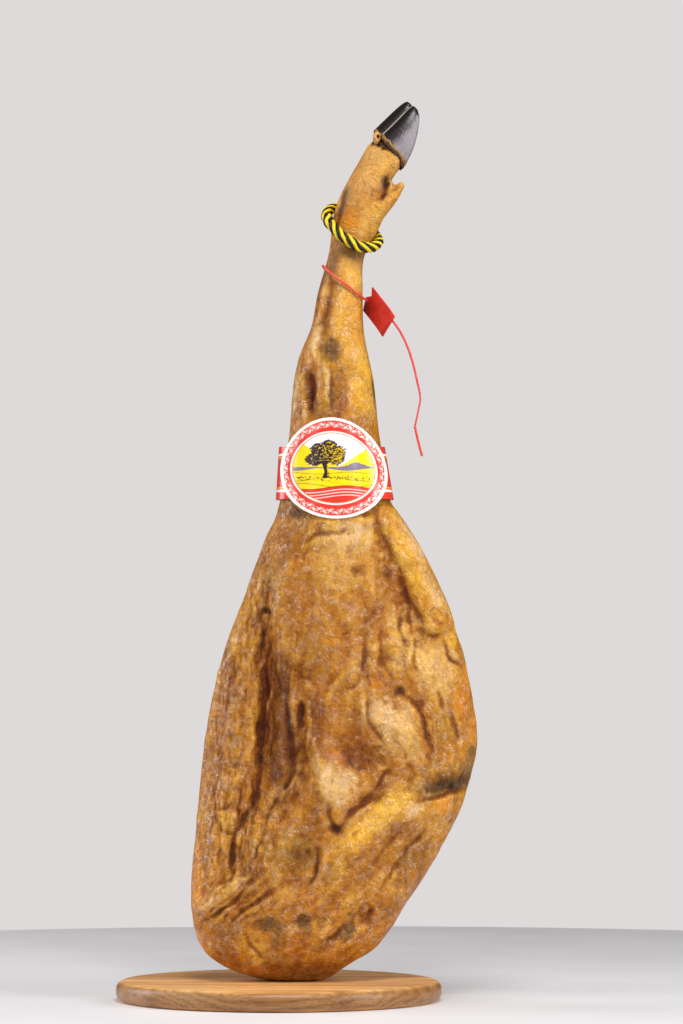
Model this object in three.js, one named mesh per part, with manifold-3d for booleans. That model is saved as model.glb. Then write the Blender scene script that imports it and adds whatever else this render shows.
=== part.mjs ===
// A whole dry-cured ham, standing on its butt end on a round wooden board with the cut meat side to the
// front. The leg narrows to the shank and ends in two black claws. A loop of twisted rope hangs round the
// ankle, a pull-tight plastic seal round the shank below it, and a paper sleeve with an oval front round
// the leg.
// Millimetres. +Z is up, -Y is the meat side, and the origin is the centre of the board's underside.
import * as THREE from "three";
import { mergeVertices } from "three/addons/utils/BufferGeometryUtils.js";
import Module from "manifold-3d";

const wasm = await Module();
wasm.setup();

// Driving sizes
const BOARD_DIAMETER = 315;
const BOARD_THICKNESS = 19;
const BOARD_EDGE_RADIUS = 8;
const BOARD_SIDES = 60;
const GAP = 0.3; // between pieces that touch
const ROWS = 76; // rings along the ham
const FRONT_POINTS = 36; // points of a ring on the meat side
const BACK_POINTS = 20; // and on the rind side
const ROPE_DIAMETER = 10.5;
const ROPE_STAND_OFF = 0.9; // from the skin
const STRAP_DIAMETER = 2.2;
const PAPER = 0.8;

// The ham's outline and depth, from the flat spot it stands on up to where the claws begin. Left and right
// are the points (x, z) of the outline as seen from the front, and front and back are the depths (y) between
// them. Lean is how far a point moves (x, z) for each millimetre of depth behind y = 0, where the foot is
// turned.
const HAM_LEVELS = [
  { at: "flat spot", left: [-16, 0], right: [46, 0], front: -23, back: 20 },
  { at: "butt, underside", left: [-50, 12], right: [66, 14], front: -38, back: 35 },
  { at: "butt, turning up", left: [-76, 32], right: [95, 32], front: -47, back: 46 },
  { at: "butt", left: [-85, 72], right: [123, 72], front: -48, back: 52 },
  { at: "round muscle", left: [-82, 130], right: [159, 130], front: -49, back: 57 },
  { at: "below the widest", left: [-77, 188], right: [185, 188], front: -48, back: 58 },
  { at: "widest", left: [-71, 240], right: [192, 240], front: -46, back: 56 },
  { at: "flank", left: [-57, 305], right: [181, 305], front: -44, back: 52 },
  { at: "upper flank", left: [-37, 363], right: [162, 363], front: -42, back: 48 },
  { at: "thigh top", left: [-16, 421], right: [134, 421], front: -42, back: 45 },
  { at: "below the sleeve", left: [-3, 449], right: [117, 449], front: -41, back: 43 },
  { at: "sleeve, lower edge", left: [1.5, 466], right: [106, 466], front: -39, back: 41 },
  { at: "sleeve", left: [5, 494], right: [103, 494], front: -37, back: 40 },
  { at: "above the sleeve", left: [10, 530], right: [97, 530], front: -35, back: 38 },
  { at: "hock", left: [14, 578], right: [92, 578], front: -32, back: 35 },
  { at: "hock, top", left: [21, 609], right: [86, 609], front: -28, back: 31 },
  { at: "shank, low", left: [31, 630], right: [82, 630], front: -24, back: 26 },
  { at: "shank", left: [37, 664], right: [81.5, 664], front: -21, back: 22 },
  { at: "ankle", left: [46.5, 697], right: [81.5, 697], front: -18, back: 18 },
  { at: "ankle, top", left: [50, 713], right: [86, 709], front: -18.5, back: 18.5 },
  { at: "fetlock, low", left: [50.5, 728], right: [95, 723], front: -20, back: 20 },
  { at: "fetlock", left: [54.5, 749], right: [104, 746], front: -22, back: 22 },
  { at: "pastern, low", left: [66, 774], right: [105, 766], front: -20, back: 20, lean: [-0.06, 0.07] },
  { at: "pastern", left: [76, 790], right: [111, 779], front: -19, back: 19, lean: [-0.16, 0.18] },
  { at: "toes", left: [86, 807], right: [117, 788], front: -20, back: 20, lean: [-0.26, 0.3] },
  { at: "coronet", left: [97, 822], right: [120, 795], front: -20, back: 20, lean: [-0.3, 0.35] },
];

// The front claw, in the same terms, from its base to its tip. The back one is its mirror image in depth.
const CLAW_LEVELS = [
  { at: "base", left: [97.4, 822.5], right: [120.4, 795.5], front: -19.8, back: -1.5 },
  { at: "lower wall", left: [105.8, 830.5], right: [126.6, 809], front: -20.3, back: -1.1 },
  { at: "middle wall", left: [115.5, 840], right: [131, 825], front: -18.8, back: -1.4 },
  { at: "upper wall", left: [122.8, 846.5], right: [132.8, 838.5], front: -15.8, back: -2.6 },
  { at: "tip", left: [127.3, 848.8], right: [131.2, 845.6], front: -12.2, back: -5.6 },
].map((level) => ({ ...level, lean: [-0.3, 0.35] }));
const CLAW_ROWS = 9;

// Folds and ridges of the meat side: each follows a route of (x, z) points seen from the front, is that
// wide, and rises by that much: below zero for a furrow.
const FOLDS = [
  {
    at: "left flap furrow",
    rise: -15,
    width: 12,
    route: [[-16, 376], [-15, 325], [-13, 285], [-15, 235], [-22, 175], [-44, 108]],
  },
  {
    at: "left flap edge",
    rise: 7,
    width: 14,
    route: [[-38, 340], [-39, 285], [-43, 225], [-51, 160], [-67, 105]],
  },
  {
    at: "second furrow",
    rise: -14,
    width: 11,
    route: [[20, 300], [19, 245], [13, 198], [0, 155], [-24, 106]],
  },
  {
    at: "rope of muscle",
    rise: 7,
    width: 11,
    route: [[2, 385], [2, 310], [2, 240], [-5, 180], [-30, 120]],
  },
  { at: "breast", rise: 10, width: 34, route: [[56, 405], [54, 365], [50, 320]] },
  {
    at: "right seam",
    rise: -10,
    width: 11,
    route: [[93, 452], [101, 415], [114, 377], [127, 345], [145, 328], [164, 330]],
  },
  { at: "fat roll", rise: 7, width: 16, route: [[107, 450], [129, 405], [151, 360], [171, 310]] },
  { at: "blade", rise: 7, width: 12, route: [[85, 335], [76, 290], [60, 262]] },
  { at: "blade furrow", rise: -6, width: 11, route: [[98, 350], [95, 312], [101, 280], [114, 268]] },
  { at: "flank furrow", rise: -7, width: 11, route: [[129, 280], [142, 243], [148, 213]] },
  { at: "bone ridge", rise: 9, width: 13, route: [[28, 235], [44, 204], [57, 174], [54, 148]] },
  {
    at: "bone furrow",
    rise: -8,
    width: 12,
    route: [[106, 208], [97, 180], [75, 170], [61, 156], [52, 138]],
  },
  { at: "lower lobe", rise: 10, width: 21, route: [[162, 200], [117, 165], [72, 128], [38, 90]] },
  { at: "lobe furrow", rise: -8, width: 14, route: [[30, 152], [20, 118], [8, 90]] },
  { at: "right crease", rise: -11, width: 11, route: [[128, 180], [160, 187], [190, 196]] },
  { at: "lower diagonal", rise: 6, width: 11, route: [[-74, 68], [-36, 103], [-2, 138]] },
  { at: "lower diagonal furrow", rise: -5, width: 11, route: [[-60, 52], [-22, 86], [10, 116]] },
  { at: "shank tendon", rise: 2, width: 6, route: [[45, 668], [41, 645], [37, 618]] },
  { at: "shank furrow", rise: -3, width: 6, route: [[54, 690], [49, 655], [44, 612]] },
  { at: "hock furrow", rise: -5, width: 7, route: [[31, 594], [32, 566], [34, 543]] },
  { at: "hock ridge", rise: 3, width: 7, route: [[45, 602], [45, 578], [44, 556]] },
];

// Rounded humps (rise above zero) and hollows of the meat side, of that size (x, z)
const HUMPS = [
  { at: "glossy hollow", rise: -8, centre: [73, 214], size: [20, 21] },
  { at: "pale plateau", rise: 8, centre: [112, 238], size: [26, 24] },
  { at: "small dome", rise: 6, centre: [92, 276], size: [11, 10] },
  { at: "fat patch", rise: 5, centre: [146, 285], size: [20, 30] },
  { at: "butt hump", rise: 6, centre: [20, 52], size: [42, 26] },
  { at: "butt hollow", rise: -4, centre: [-20, 38], size: [16, 14] },
  { at: "right cheek", rise: 6, centre: [172, 228], size: [16, 24] },
];

const lerp = THREE.MathUtils.lerp;

// A smooth curve through one set of values of the levels
function curveThrough(levels, pick) {
  const points = levels.map((level) => new THREE.Vector3(...pick(level)));
  return new THREE.CatmullRomCurve3(points, false, "centripetal");
}

// A form given by levels: its curves, with one more whose lengths space the rings evenly
function formOf(levels) {
  return {
    left: curveThrough(levels, (l) => [l.left[0], 0, l.left[1]]),
    right: curveThrough(levels, (l) => [l.right[0], 0, l.right[1]]),
    depth: curveThrough(levels, (l) => [l.front, l.back, l.left[1]]),
    lean: curveThrough(levels, (l) => [...(l.lean ?? [0, 0]), l.left[1]]),
    pace: curveThrough(levels, (l) => [l.left[0], l.right[0], l.left[1]]),
  };
}

// The point of a form's skin at t along it and at an angle round it, moved out by the offset. Angle 0 is the
// right edge and 90 degrees the back. Power 2 is an ellipse, and more is squarer.
function skinPoint(form, t, angle, offset = 0, power = 2.15) {
  const left = form.left.getPoint(t);
  const right = form.right.getPoint(t);
  const depth = form.depth.getPoint(t);
  const lean = form.lean.getPoint(t);
  const across = right.clone().sub(left);
  const halfWidth = across.length() / 2;
  const halfDepth = (depth.y - depth.x) / 2;
  across.normalize();
  const round = (value) => Math.sign(value) * Math.abs(value) ** (2 / power);
  const u = round(Math.cos(angle));
  const v = round(Math.sin(angle));
  const steepness = (value, half) => (Math.sign(value) * Math.abs(value) ** (power - 1)) / half;
  const outward = new THREE.Vector2(steepness(u, halfWidth), steepness(v, halfDepth)).normalize();
  const sideways = u * halfWidth + outward.x * offset;
  const back = v * halfDepth + outward.y * offset;
  const point = left.clone().add(right).multiplyScalar(0.5).addScaledVector(across, sideways);
  point.y = (depth.x + depth.y) / 2 + back;
  point.x += lean.x * point.y;
  point.z += lean.y * point.y;
  const normal = across.clone().multiplyScalar(outward.x);
  normal.y = outward.y;
  return { point, normal };
}

// How far along a form the middle of its skin reaches a height
function levelAt(form, z) {
  let low = 0;
  let high = 1;
  for (let step = 0; step < 30; step++) {
    const t = (low + high) / 2;
    const middle = (form.left.getPoint(t).z + form.right.getPoint(t).z) / 2;
    if (middle < z) low = t;
    else high = t;
  }
  return (low + high) / 2;
}

// Angles round a ring, with most of the points on the meat side
function ringAngles(frontPoints, backPoints) {
  const angles = [];
  for (let i = 0; i < backPoints; i++) angles.push((Math.PI * i) / backPoints);
  for (let i = 0; i < frontPoints; i++) angles.push(Math.PI + (Math.PI * i) / frontPoints);
  return angles;
}

// A closed solid through rings of points, all in the same order; its two ends are closed by a fan
function solidThroughRings(rings) {
  const count = rings[0].length;
  const middle = (ring) => ring.reduce((sum, p) => sum.add(p), new THREE.Vector3()).divideScalar(count);
  const points = [...rings.flat(), middle(rings[0]), middle(rings.at(-1))];
  const start = rings.length * count;
  const end = start + 1;
  const faces = [];
  for (let i = 0; i < count; i++) {
    const next = (i + 1) % count;
    for (let r = 0; r + 1 < rings.length; r++) {
      const a = r * count + i;
      const b = r * count + next;
      faces.push(a, b, b + count, a, b + count, a + count);
    }
    faces.push(start, next, i);
    faces.push(end, start - count + i, start - count + next);
  }
  const geometry = new THREE.BufferGeometry().setFromPoints(points);
  geometry.setIndex(faces);
  return geometry;
}

// A closed solid along a form, with its skin moved in and out by relief(point, normal)
function loft(form, rows, angles, relief = () => 0) {
  const rings = [];
  for (let r = 0; r < rows; r++) {
    const t = form.pace.getUtoTmapping(r / (rows - 1));
    rings.push(
      angles.map((angle) => {
        const { point, normal } = skinPoint(form, t, angle);
        return point.addScaledVector(normal, relief(point, normal));
      }),
    );
  }
  return solidThroughRings(rings);
}

// Fold routes as short straight steps, so that the distance to them is quick to find
const ROUTE_STEPS = 20;
const foldLines = FOLDS.map((fold) => ({
  ...fold,
  line: new THREE.SplineCurve(fold.route.map(([x, z]) => new THREE.Vector2(x, z))).getPoints(ROUTE_STEPS),
}));
const EDGE_FADE = 0.35; // how squarely the skin must face the front for a fold to have its full depth
const FOOTING = 25; // the height over which folds fade in above the board

function foldRise(fold, x, z) {
  let nearest = Infinity;
  let along = 0;
  fold.line.forEach((step, index) => {
    const distance = Math.hypot(step.x - x, step.y - z);
    if (distance < nearest) {
      nearest = distance;
      along = index / ROUTE_STEPS;
    }
  });
  const taper = Math.sin(Math.PI * lerp(0.12, 0.88, along)) ** 0.7;
  return fold.rise * taper * Math.exp(-((nearest / fold.width) ** 2));
}

function humpRise(hump, x, z) {
  const away = Math.hypot((x - hump.centre[0]) / hump.size[0], (z - hump.centre[1]) / hump.size[1]);
  return hump.rise * Math.exp(-(away ** 2));
}

// How far the meat side stands out or in at a point of the skin
function meatRelief(point, normal) {
  const facing = THREE.MathUtils.smoothstep(-normal.y, 0, EDGE_FADE);
  if (facing === 0) return 0;
  const footing = THREE.MathUtils.smoothstep(point.z, 0, FOOTING);
  const folds = foldLines.reduce((sum, fold) => sum + foldRise(fold, point.x, point.z), 0);
  const humps = HUMPS.reduce((sum, hump) => sum + humpRise(hump, point.x, point.z), 0);
  return (folds + humps) * facing * footing;
}

// A geometry as a solid that can be joined and cut, and back
function solidOf(geometry) {
  const bare = geometry.index ? geometry.toNonIndexed() : geometry.clone();
  bare.deleteAttribute("normal");
  bare.deleteAttribute("uv");
  const merged = mergeVertices(bare, 1e-3);
  return new wasm.Manifold(
    new wasm.Mesh({
      numProp: 3,
      vertProperties: merged.attributes.position.array,
      triVerts: new Uint32Array(merged.index.array),
    }),
  );
}

function geometryOf(solid) {
  const mesh = solid.getMesh();
  const geometry = new THREE.BufferGeometry();
  geometry.setAttribute("position", new THREE.BufferAttribute(new Float32Array(mesh.vertProperties), 3));
  geometry.setIndex(new THREE.BufferAttribute(new Uint32Array(mesh.triVerts), 1));
  return geometry;
}

// A cord's round section, run along points
function cord(points, diameter, sides, steps) {
  const section = new THREE.Shape().absarc(0, 0, diameter / 2, 0, 2 * Math.PI);
  const extrudePath = new THREE.CatmullRomCurve3(points);
  return new THREE.ExtrudeGeometry(section, { curveSegments: sides / 2, steps, extrudePath });
}

// A round stub along points, whose thickness changes by scale(share of its length)
function stub(points, diameter, sides, steps, scale) {
  const curve = new THREE.CatmullRomCurve3(points);
  const frames = curve.computeFrenetFrames(steps, false);
  const rings = [];
  for (let s = 0; s <= steps; s++) {
    const centre = curve.getPointAt(s / steps);
    const radius = (diameter / 2) * scale(s / steps);
    const ring = [];
    for (let i = 0; i < sides; i++) {
      const angle = (2 * Math.PI * i) / sides;
      ring.push(
        centre
          .clone()
          .addScaledVector(frames.normals[s], Math.cos(angle) * radius)
          .addScaledVector(frames.binormals[s], Math.sin(angle) * radius),
      );
    }
    rings.push(ring);
  }
  return solidThroughRings(rings);
}

const hamForm = formOf(HAM_LEVELS);

// The two small claws behind the fetlock, as tapered stubs from inside the leg to their blunt tips
const DEWCLAW_SIDES = 12;
const DEWCLAW_STEPS = 6;
const DEWCLAWS = [
  { root: [84, -7, 738], bend: [103, -11, 752], tip: [122, -14, 773], thickness: 27 },
  { root: [84, 9, 742], bend: [98, 13, 757], tip: [111, 15, 776], thickness: 24 },
];

function dewclaw({ root, bend, tip, thickness }) {
  const route = [root, bend, tip].map((p) => new THREE.Vector3(...p));
  return stub(route, thickness, DEWCLAW_SIDES, DEWCLAW_STEPS, (share) => lerp(1, 0.27, share ** 1.05));
}

// The cleft between the two toes
const CLEFT = { width: 2.4, depth: 17 };

function cleft() {
  const top = HAM_LEVELS.at(-1);
  const middle = new THREE.Vector3((top.left[0] + top.right[0]) / 2, 0, (top.left[1] + top.right[1]) / 2);
  const slope = Math.atan2(top.left[1] - top.right[1], top.right[0] - top.left[0]);
  const slot = new THREE.BoxGeometry(60, CLEFT.width, 2 * CLEFT.depth);
  return slot.rotateY(slope).translate(middle.x, middle.y, middle.z);
}

function ham() {
  let solid = solidOf(loft(hamForm, ROWS, ringAngles(FRONT_POINTS, BACK_POINTS), meatRelief));
  for (const shape of DEWCLAWS) solid = solid.add(solidOf(dewclaw(shape)));
  return geometryOf(solid.subtract(solidOf(cleft())));
}

function claw(mirrored) {
  const mirror = (level) => ({ ...level, front: -level.back, back: -level.front });
  const levels = mirrored ? CLAW_LEVELS.map(mirror) : CLAW_LEVELS;
  return loft(formOf(levels), CLAW_ROWS, ringAngles(9, 9));
}

// The board: a disc with a round edge
const BOARD_ARC_STEPS = 4;

function board() {
  const radius = BOARD_DIAMETER / 2;
  const inner = radius - BOARD_EDGE_RADIUS;
  const profile = [new THREE.Vector2(0, 0)];
  for (const [height, from] of [[BOARD_EDGE_RADIUS, -90], [BOARD_THICKNESS - BOARD_EDGE_RADIUS, 0]]) {
    for (let i = 0; i <= BOARD_ARC_STEPS; i++) {
      const angle = THREE.MathUtils.degToRad(from + (90 * i) / BOARD_ARC_STEPS);
      profile.push(
        new THREE.Vector2(
          inner + BOARD_EDGE_RADIUS * Math.cos(angle),
          height + BOARD_EDGE_RADIUS * Math.sin(angle),
        ),
      );
    }
  }
  profile.push(new THREE.Vector2(0, BOARD_THICKNESS));
  return new THREE.LatheGeometry(profile, BOARD_SIDES).rotateX(Math.PI / 2);
}

// The paper sleeve: a band right round the leg whose front widens to an oval. It flares downwards with
// the leg.
const SLEEVE = {
  centre: [52.7, 0.5, 490],
  halfWidth: 53.5,
  front: 40.5,
  back: 43.5,
  power: 2.6,
  bandHeight: 51,
  oval: { centre: [53.3, 494], halfWidth: 51.3, halfHeight: 48.8 },
  // How far it moves for each millimetre down
  widening: 0.114,
  shift: 0.054,
  forward: 0.08,
};
const SLEEVE_FRONT_POINTS = 38;
const SLEEVE_BACK_POINTS = 14;
const SLEEVE_ROWS = 4;

// A point of the sleeve. Angle 0 is the right edge and 270 degrees the front.
function sleevePoint(angle, height, offset) {
  const round = (value) => Math.sign(value) * Math.abs(value) ** (2 / SLEEVE.power);
  const down = SLEEVE.centre[2] - height;
  const [across, back] = [round(Math.cos(angle)), round(Math.sin(angle))];
  const halfWidth = SLEEVE.halfWidth + SLEEVE.widening * down + offset;
  const depth = offset + (back < 0 ? SLEEVE.front + SLEEVE.forward * down : SLEEVE.back);
  const x = SLEEVE.centre[0] + SLEEVE.shift * down + across * halfWidth;
  return new THREE.Vector3(x, SLEEVE.centre[1] + back * depth, height);
}

// The heights between which the sleeve runs at an angle
function sleeveSpan(angle) {
  const middle = sleevePoint(angle, SLEEVE.centre[2], 0);
  const { centre, halfWidth, halfHeight } = SLEEVE.oval;
  const share = Math.min(1, Math.abs(middle.x - centre[0]) / halfWidth);
  const oval = middle.y < 0 ? halfHeight * Math.sqrt(1 - share ** 2) : 0;
  const band = SLEEVE.bandHeight / 2;
  return [
    Math.min(centre[1] - oval, SLEEVE.centre[2] - band),
    Math.max(centre[1] + oval, SLEEVE.centre[2] + band),
  ];
}

function sleeve() {
  const rings = ringAngles(SLEEVE_FRONT_POINTS, SLEEVE_BACK_POINTS).map((angle) => {
    const [low, high] = sleeveSpan(angle);
    const heights = [];
    for (let r = 0; r <= SLEEVE_ROWS; r++) heights.push(lerp(low, high, r / SLEEVE_ROWS));
    return [
      ...heights.map((height) => sleevePoint(angle, height, PAPER)),
      ...heights.reverse().map((height) => sleevePoint(angle, height, 0)),
    ];
  });
  const count = rings[0].length;
  const faces = [];
  for (let i = 0; i < rings.length; i++) {
    const next = (i + 1) % rings.length;
    for (let k = 0; k < count; k++) {
      const up = (k + 1) % count;
      const [a, b, c, d] = [i * count + k, next * count + k, next * count + up, i * count + up];
      faces.push(a, b, c, a, c, d);
    }
  }
  const geometry = new THREE.BufferGeometry().setFromPoints(rings.flat());
  geometry.setIndex(faces);
  return geometry;
}

// The rope loop round the ankle. It lies lowest in front on the right and highest behind on the left, and
// its ends meet in a whipping behind the leg.
const ROPE = { height: 729, tiltBack: 16.4, tiltLeft: 11.5, points: 24, steps: 30, whippingHalfAngle: 17 };
const ROPE_SIDES = 10;
const ROPE_SAG = 7.5; // how much lower it hangs behind the leg's right side
const WHIPPING_DIAMETER = 12.2;

function ropeCentre(angle) {
  const sag = ROPE_SAG * Math.max(0, Math.cos(angle - THREE.MathUtils.degToRad(55))) ** 4;
  const height = ROPE.height + ROPE.tiltBack * Math.sin(angle) - ROPE.tiltLeft * Math.cos(angle) - sag;
  return skinPoint(hamForm, levelAt(hamForm, height), angle, ROPE_DIAMETER / 2 + ROPE_STAND_OFF).point;
}

function ropeRoute(fromDegrees, toDegrees, points) {
  const route = [];
  for (let i = 0; i <= points; i++) {
    route.push(ropeCentre(THREE.MathUtils.degToRad(lerp(fromDegrees, toDegrees, i / points))));
  }
  return route;
}

function ropeLoop() {
  const start = 90 + ROPE.whippingHalfAngle;
  const route = ropeRoute(start, start + 360 - 2 * ROPE.whippingHalfAngle, ROPE.points);
  return cord(route, ROPE_DIAMETER, ROPE_SIDES, ROPE.steps);
}

function ropeWhipping() {
  const gapAngle = 3.2; // degrees, which leaves the gap to the rope's ends
  const half = ROPE.whippingHalfAngle - gapAngle;
  const bulge = (share) => lerp(0.86, 1, Math.sin(Math.PI * share) ** 0.5);
  return stub(ropeRoute(90 - half, 90 + half, 4), WHIPPING_DIAMETER, ROPE_SIDES, 8, bulge);
}

// The seal: a flat tag beside the shank, a strap from it round the shank, and a tail that hangs from it.
// The tag's two axes say how it is turned: up points along it to its notched end, and right across it.
const TAG = {
  centre: [96.2, -3, 647],
  length: 43,
  width: 27,
  thickness: 2.6,
  up: [-0.532, 0.46, 0.71],
  right: [0.425, -0.579, 0.694],
  toothDepth: 5,
  lockHeight: 14.5, // of the hole that the strap goes through, above the middle
  tailAcross: 7, // where the tail leaves the lower end, right of the middle
};
const STRAP = { height: 675, tilt: 17, clearance: 1.5, from: -40, to: -312, points: 18, steps: 34 };
const TAIL_ROUTE = [
  [117.7, 626],
  [124, 613],
  [129.4, 597],
  [133.5, 580],
  [136.8, 562],
  [135.4, 553],
  [131.8, 536],
];
const TAIL_END = [[131.6, 534.6], [135, 519.5], [138.6, 506]];
const TAIL_END_DIAMETER = 2.8;
const TAIL_SIDES = 8;

// A point of the tag, that far across, along and in front of its middle
function onTag(across, along, forward) {
  const right = new THREE.Vector3(...TAG.right);
  const up = new THREE.Vector3(...TAG.up);
  const facing = right.clone().cross(up);
  return new THREE.Vector3(...TAG.centre)
    .addScaledVector(right, across)
    .addScaledVector(up, along)
    .addScaledVector(facing, forward);
}

// The tag's outline has two teeth at its upper end
function sealTag() {
  const [halfLength, halfWidth] = [TAG.length / 2, TAG.width / 2];
  const shoulder = halfLength - TAG.toothDepth;
  const outline = new THREE.Shape([
    new THREE.Vector2(-halfWidth, -halfLength),
    new THREE.Vector2(halfWidth, -halfLength),
    new THREE.Vector2(halfWidth, halfLength),
    new THREE.Vector2(halfWidth * 0.45, shoulder),
    new THREE.Vector2(0, halfLength),
    new THREE.Vector2(-halfWidth, shoulder),
  ]);
  const bevel = 0.4;
  const plate = new THREE.ExtrudeGeometry(outline, {
    depth: TAG.thickness - 2 * bevel,
    bevelThickness: bevel,
    bevelSize: bevel,
    bevelOffset: -bevel,
    bevelSegments: 1,
  });
  return plate.translate(0, 0, -TAG.thickness / 2 + bevel);
}

// The strap leaves the lock on the tag's face and comes back to it from behind
function sealStrap() {
  const reach = TAG.thickness / 2 + 2 * GAP;
  const route = [onTag(0, TAG.lockHeight, reach + 0.5)];
  for (let s = 0; s <= STRAP.points; s++) {
    const angle = THREE.MathUtils.degToRad(lerp(STRAP.from, STRAP.to, s / STRAP.points));
    const height = STRAP.height - STRAP.tilt * Math.cos(angle);
    const offset = STRAP_DIAMETER / 2 + STRAP.clearance;
    route.push(skinPoint(hamForm, levelAt(hamForm, height), angle, offset).point);
  }
  route.push(onTag(0, TAG.lockHeight, -reach - 1.4));
  return cord(route, STRAP_DIAMETER, TAIL_SIDES, STRAP.steps);
}

function sealTail() {
  const exit = onTag(TAG.tailAcross, -TAG.length / 2 - GAP - 0.4, 0);
  const route = [exit, ...TAIL_ROUTE.map(([x, z]) => new THREE.Vector3(x, exit.y - 1, z))];
  return cord(route, STRAP_DIAMETER, TAIL_SIDES, 3 * route.length);
}

function sealTailEnd() {
  const depth = onTag(TAG.tailAcross, -TAG.length / 2, 0).y - 1;
  const route = TAIL_END.map(([x, z]) => new THREE.Vector3(x, depth, z));
  return cord(route, TAIL_END_DIAMETER, TAIL_SIDES, 6);
}

function tagTurn() {
  const right = new THREE.Vector3(...TAG.right).normalize();
  const up = new THREE.Vector3(...TAG.up);
  up.addScaledVector(right, -up.dot(right)).normalize();
  return new THREE.Matrix4().makeBasis(right, up, right.clone().cross(up));
}

function named(name, geometry, colour, roughness) {
  const material = new THREE.MeshStandardMaterial({ color: colour, roughness, metalness: 0 });
  const mesh = new THREE.Mesh(geometry, material);
  mesh.name = name;
  return mesh;
}

// The ham with all that is on it stands on the board
const onBoard = new THREE.Group();
onBoard.position.z = BOARD_THICKNESS + GAP;
onBoard.add(
  named("ham", ham(), 0xb9772f, 0.45),
  named("claw_front", claw(false), 0x2b2528, 0.3),
  named("claw_back", claw(true), 0x2b2528, 0.3),
  named("label_sleeve", sleeve(), 0xd9402f, 0.5),
  named("rope_loop", ropeLoop(), 0xe8cf2e, 0.5),
  named("rope_whipping", ropeWhipping(), 0x1c1a17, 0.6),
  named("seal_strap", sealStrap(), 0xd63a2c, 0.4),
  named("seal_tail", sealTail(), 0xd63a2c, 0.4),
  named("seal_tail_end", sealTailEnd(), 0xc22f25, 0.4),
);

const tag = named("seal_tag", sealTag(), 0xc22a20, 0.35);
tag.position.set(...TAG.centre);
tag.quaternion.setFromRotationMatrix(tagTurn());
onBoard.add(tag);

const group = new THREE.Group();
group.add(named("board", board(), 0xa9713b, 0.6), onBoard);

export default group;
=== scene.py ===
"""Dresses a dry-cured ham on its round wooden board, and sets its floor, lights and camera.

Metres, +Z up along the ham, -Y out of its cut meat side, +X towards the side that the foot bends to, with
the origin at the centre of the board's underside. Places on the ham's meat side are in millimetres, as
(x, height above the board) seen from the front.
"""

import logging
import math
from dataclasses import dataclass, field
from enum import Enum

import bpy
import numpy as np
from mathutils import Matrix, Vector

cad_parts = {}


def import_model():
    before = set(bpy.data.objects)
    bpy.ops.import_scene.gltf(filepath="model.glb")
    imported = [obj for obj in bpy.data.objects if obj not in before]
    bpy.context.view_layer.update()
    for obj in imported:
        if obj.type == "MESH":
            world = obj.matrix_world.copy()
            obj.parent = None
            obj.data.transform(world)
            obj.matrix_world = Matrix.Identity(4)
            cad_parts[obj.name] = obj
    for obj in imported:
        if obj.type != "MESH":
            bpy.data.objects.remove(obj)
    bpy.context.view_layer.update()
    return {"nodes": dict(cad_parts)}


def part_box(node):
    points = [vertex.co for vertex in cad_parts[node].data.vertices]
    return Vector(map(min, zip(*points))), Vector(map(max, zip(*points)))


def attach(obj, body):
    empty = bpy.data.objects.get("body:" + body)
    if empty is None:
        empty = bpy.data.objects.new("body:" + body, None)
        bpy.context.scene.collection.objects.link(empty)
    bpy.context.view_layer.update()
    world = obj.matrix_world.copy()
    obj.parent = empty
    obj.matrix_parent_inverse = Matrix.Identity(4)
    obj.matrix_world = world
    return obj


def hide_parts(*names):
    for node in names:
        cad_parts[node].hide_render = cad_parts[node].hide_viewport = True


MM = 0.001
log = logging.getLogger("cured_ham")

Place = tuple[float, float]
Array = np.ndarray
Object = bpy.types.Object
Socket = bpy.types.NodeSocket


def linear(code: str) -> tuple[float, float, float, float]:
    """Turns an sRGB hex colour such as "#C4832C" into linear red, green, blue and alpha."""
    values = [int(code[i : i + 2], 16) / 255 for i in (1, 3, 5)]
    return (*[v / 12.92 if v <= 0.04045 else ((v + 0.055) / 1.055) ** 2.4 for v in values], 1.0)


def smoothstep(low: float, high: float, value: Array) -> Array:
    """Rises smoothly from 0 at low to 1 at high."""
    share = np.clip((value - low) / (high - low), 0, 1)
    return share * share * (3 - 2 * share)


def feed(tree: bpy.types.NodeTree, node: bpy.types.Node, inputs: dict) -> None:
    """Gives a node's sockets, by name or number, each a value, a hex colour or the output that feeds it."""
    for name, value in inputs.items():
        if isinstance(value, Socket):
            tree.links.new(value, node.inputs[name])
        else:
            node.inputs[name].default_value = linear(value) if isinstance(value, str) else value


def add_node(
    tree: bpy.types.NodeTree, kind: str, settings: dict | None = None, inputs: dict | None = None
) -> bpy.types.Node:
    """Adds a node to a material.

    Args:
        tree: the material's node tree.
        kind: the node's type name.
        settings: its properties by name; "stops" lists a colour ramp's (place, colour) pairs.
        inputs: its sockets by name or number, and what each is fed with.

    Returns:
        The new node.
    """
    node = tree.nodes.new(kind)
    for name, value in (settings or {}).items():
        if name != "stops":
            setattr(node, name, value)
            continue
        elements = node.color_ramp.elements
        while len(elements) < len(value):
            elements.new(0.5)
        for element, (place, colour) in zip(elements, value):
            element.position = place
            element.color = colour
    feed(tree, node, inputs or {})
    return node


def deselect_all() -> None:
    """Leaves object mode with nothing selected."""
    if bpy.context.object and bpy.context.object.mode != "OBJECT":
        bpy.ops.object.mode_set(mode="OBJECT")
    bpy.ops.object.select_all(action="DESELECT")


def only(piece: Object) -> Object:
    """Selects one piece alone and makes it the active one."""
    deselect_all()
    piece.select_set(True)
    bpy.context.view_layer.objects.active = piece
    return piece


def apply_modifier(piece: Object, kind: str, **settings: object) -> None:
    """Adds a modifier to a piece, with those settings, and applies it."""
    only(piece)
    modifier = piece.modifiers.new(kind.lower(), kind)
    for name, value in settings.items():
        setattr(modifier, name, value)
    bpy.ops.object.modifier_apply(modifier=modifier.name)


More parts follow.
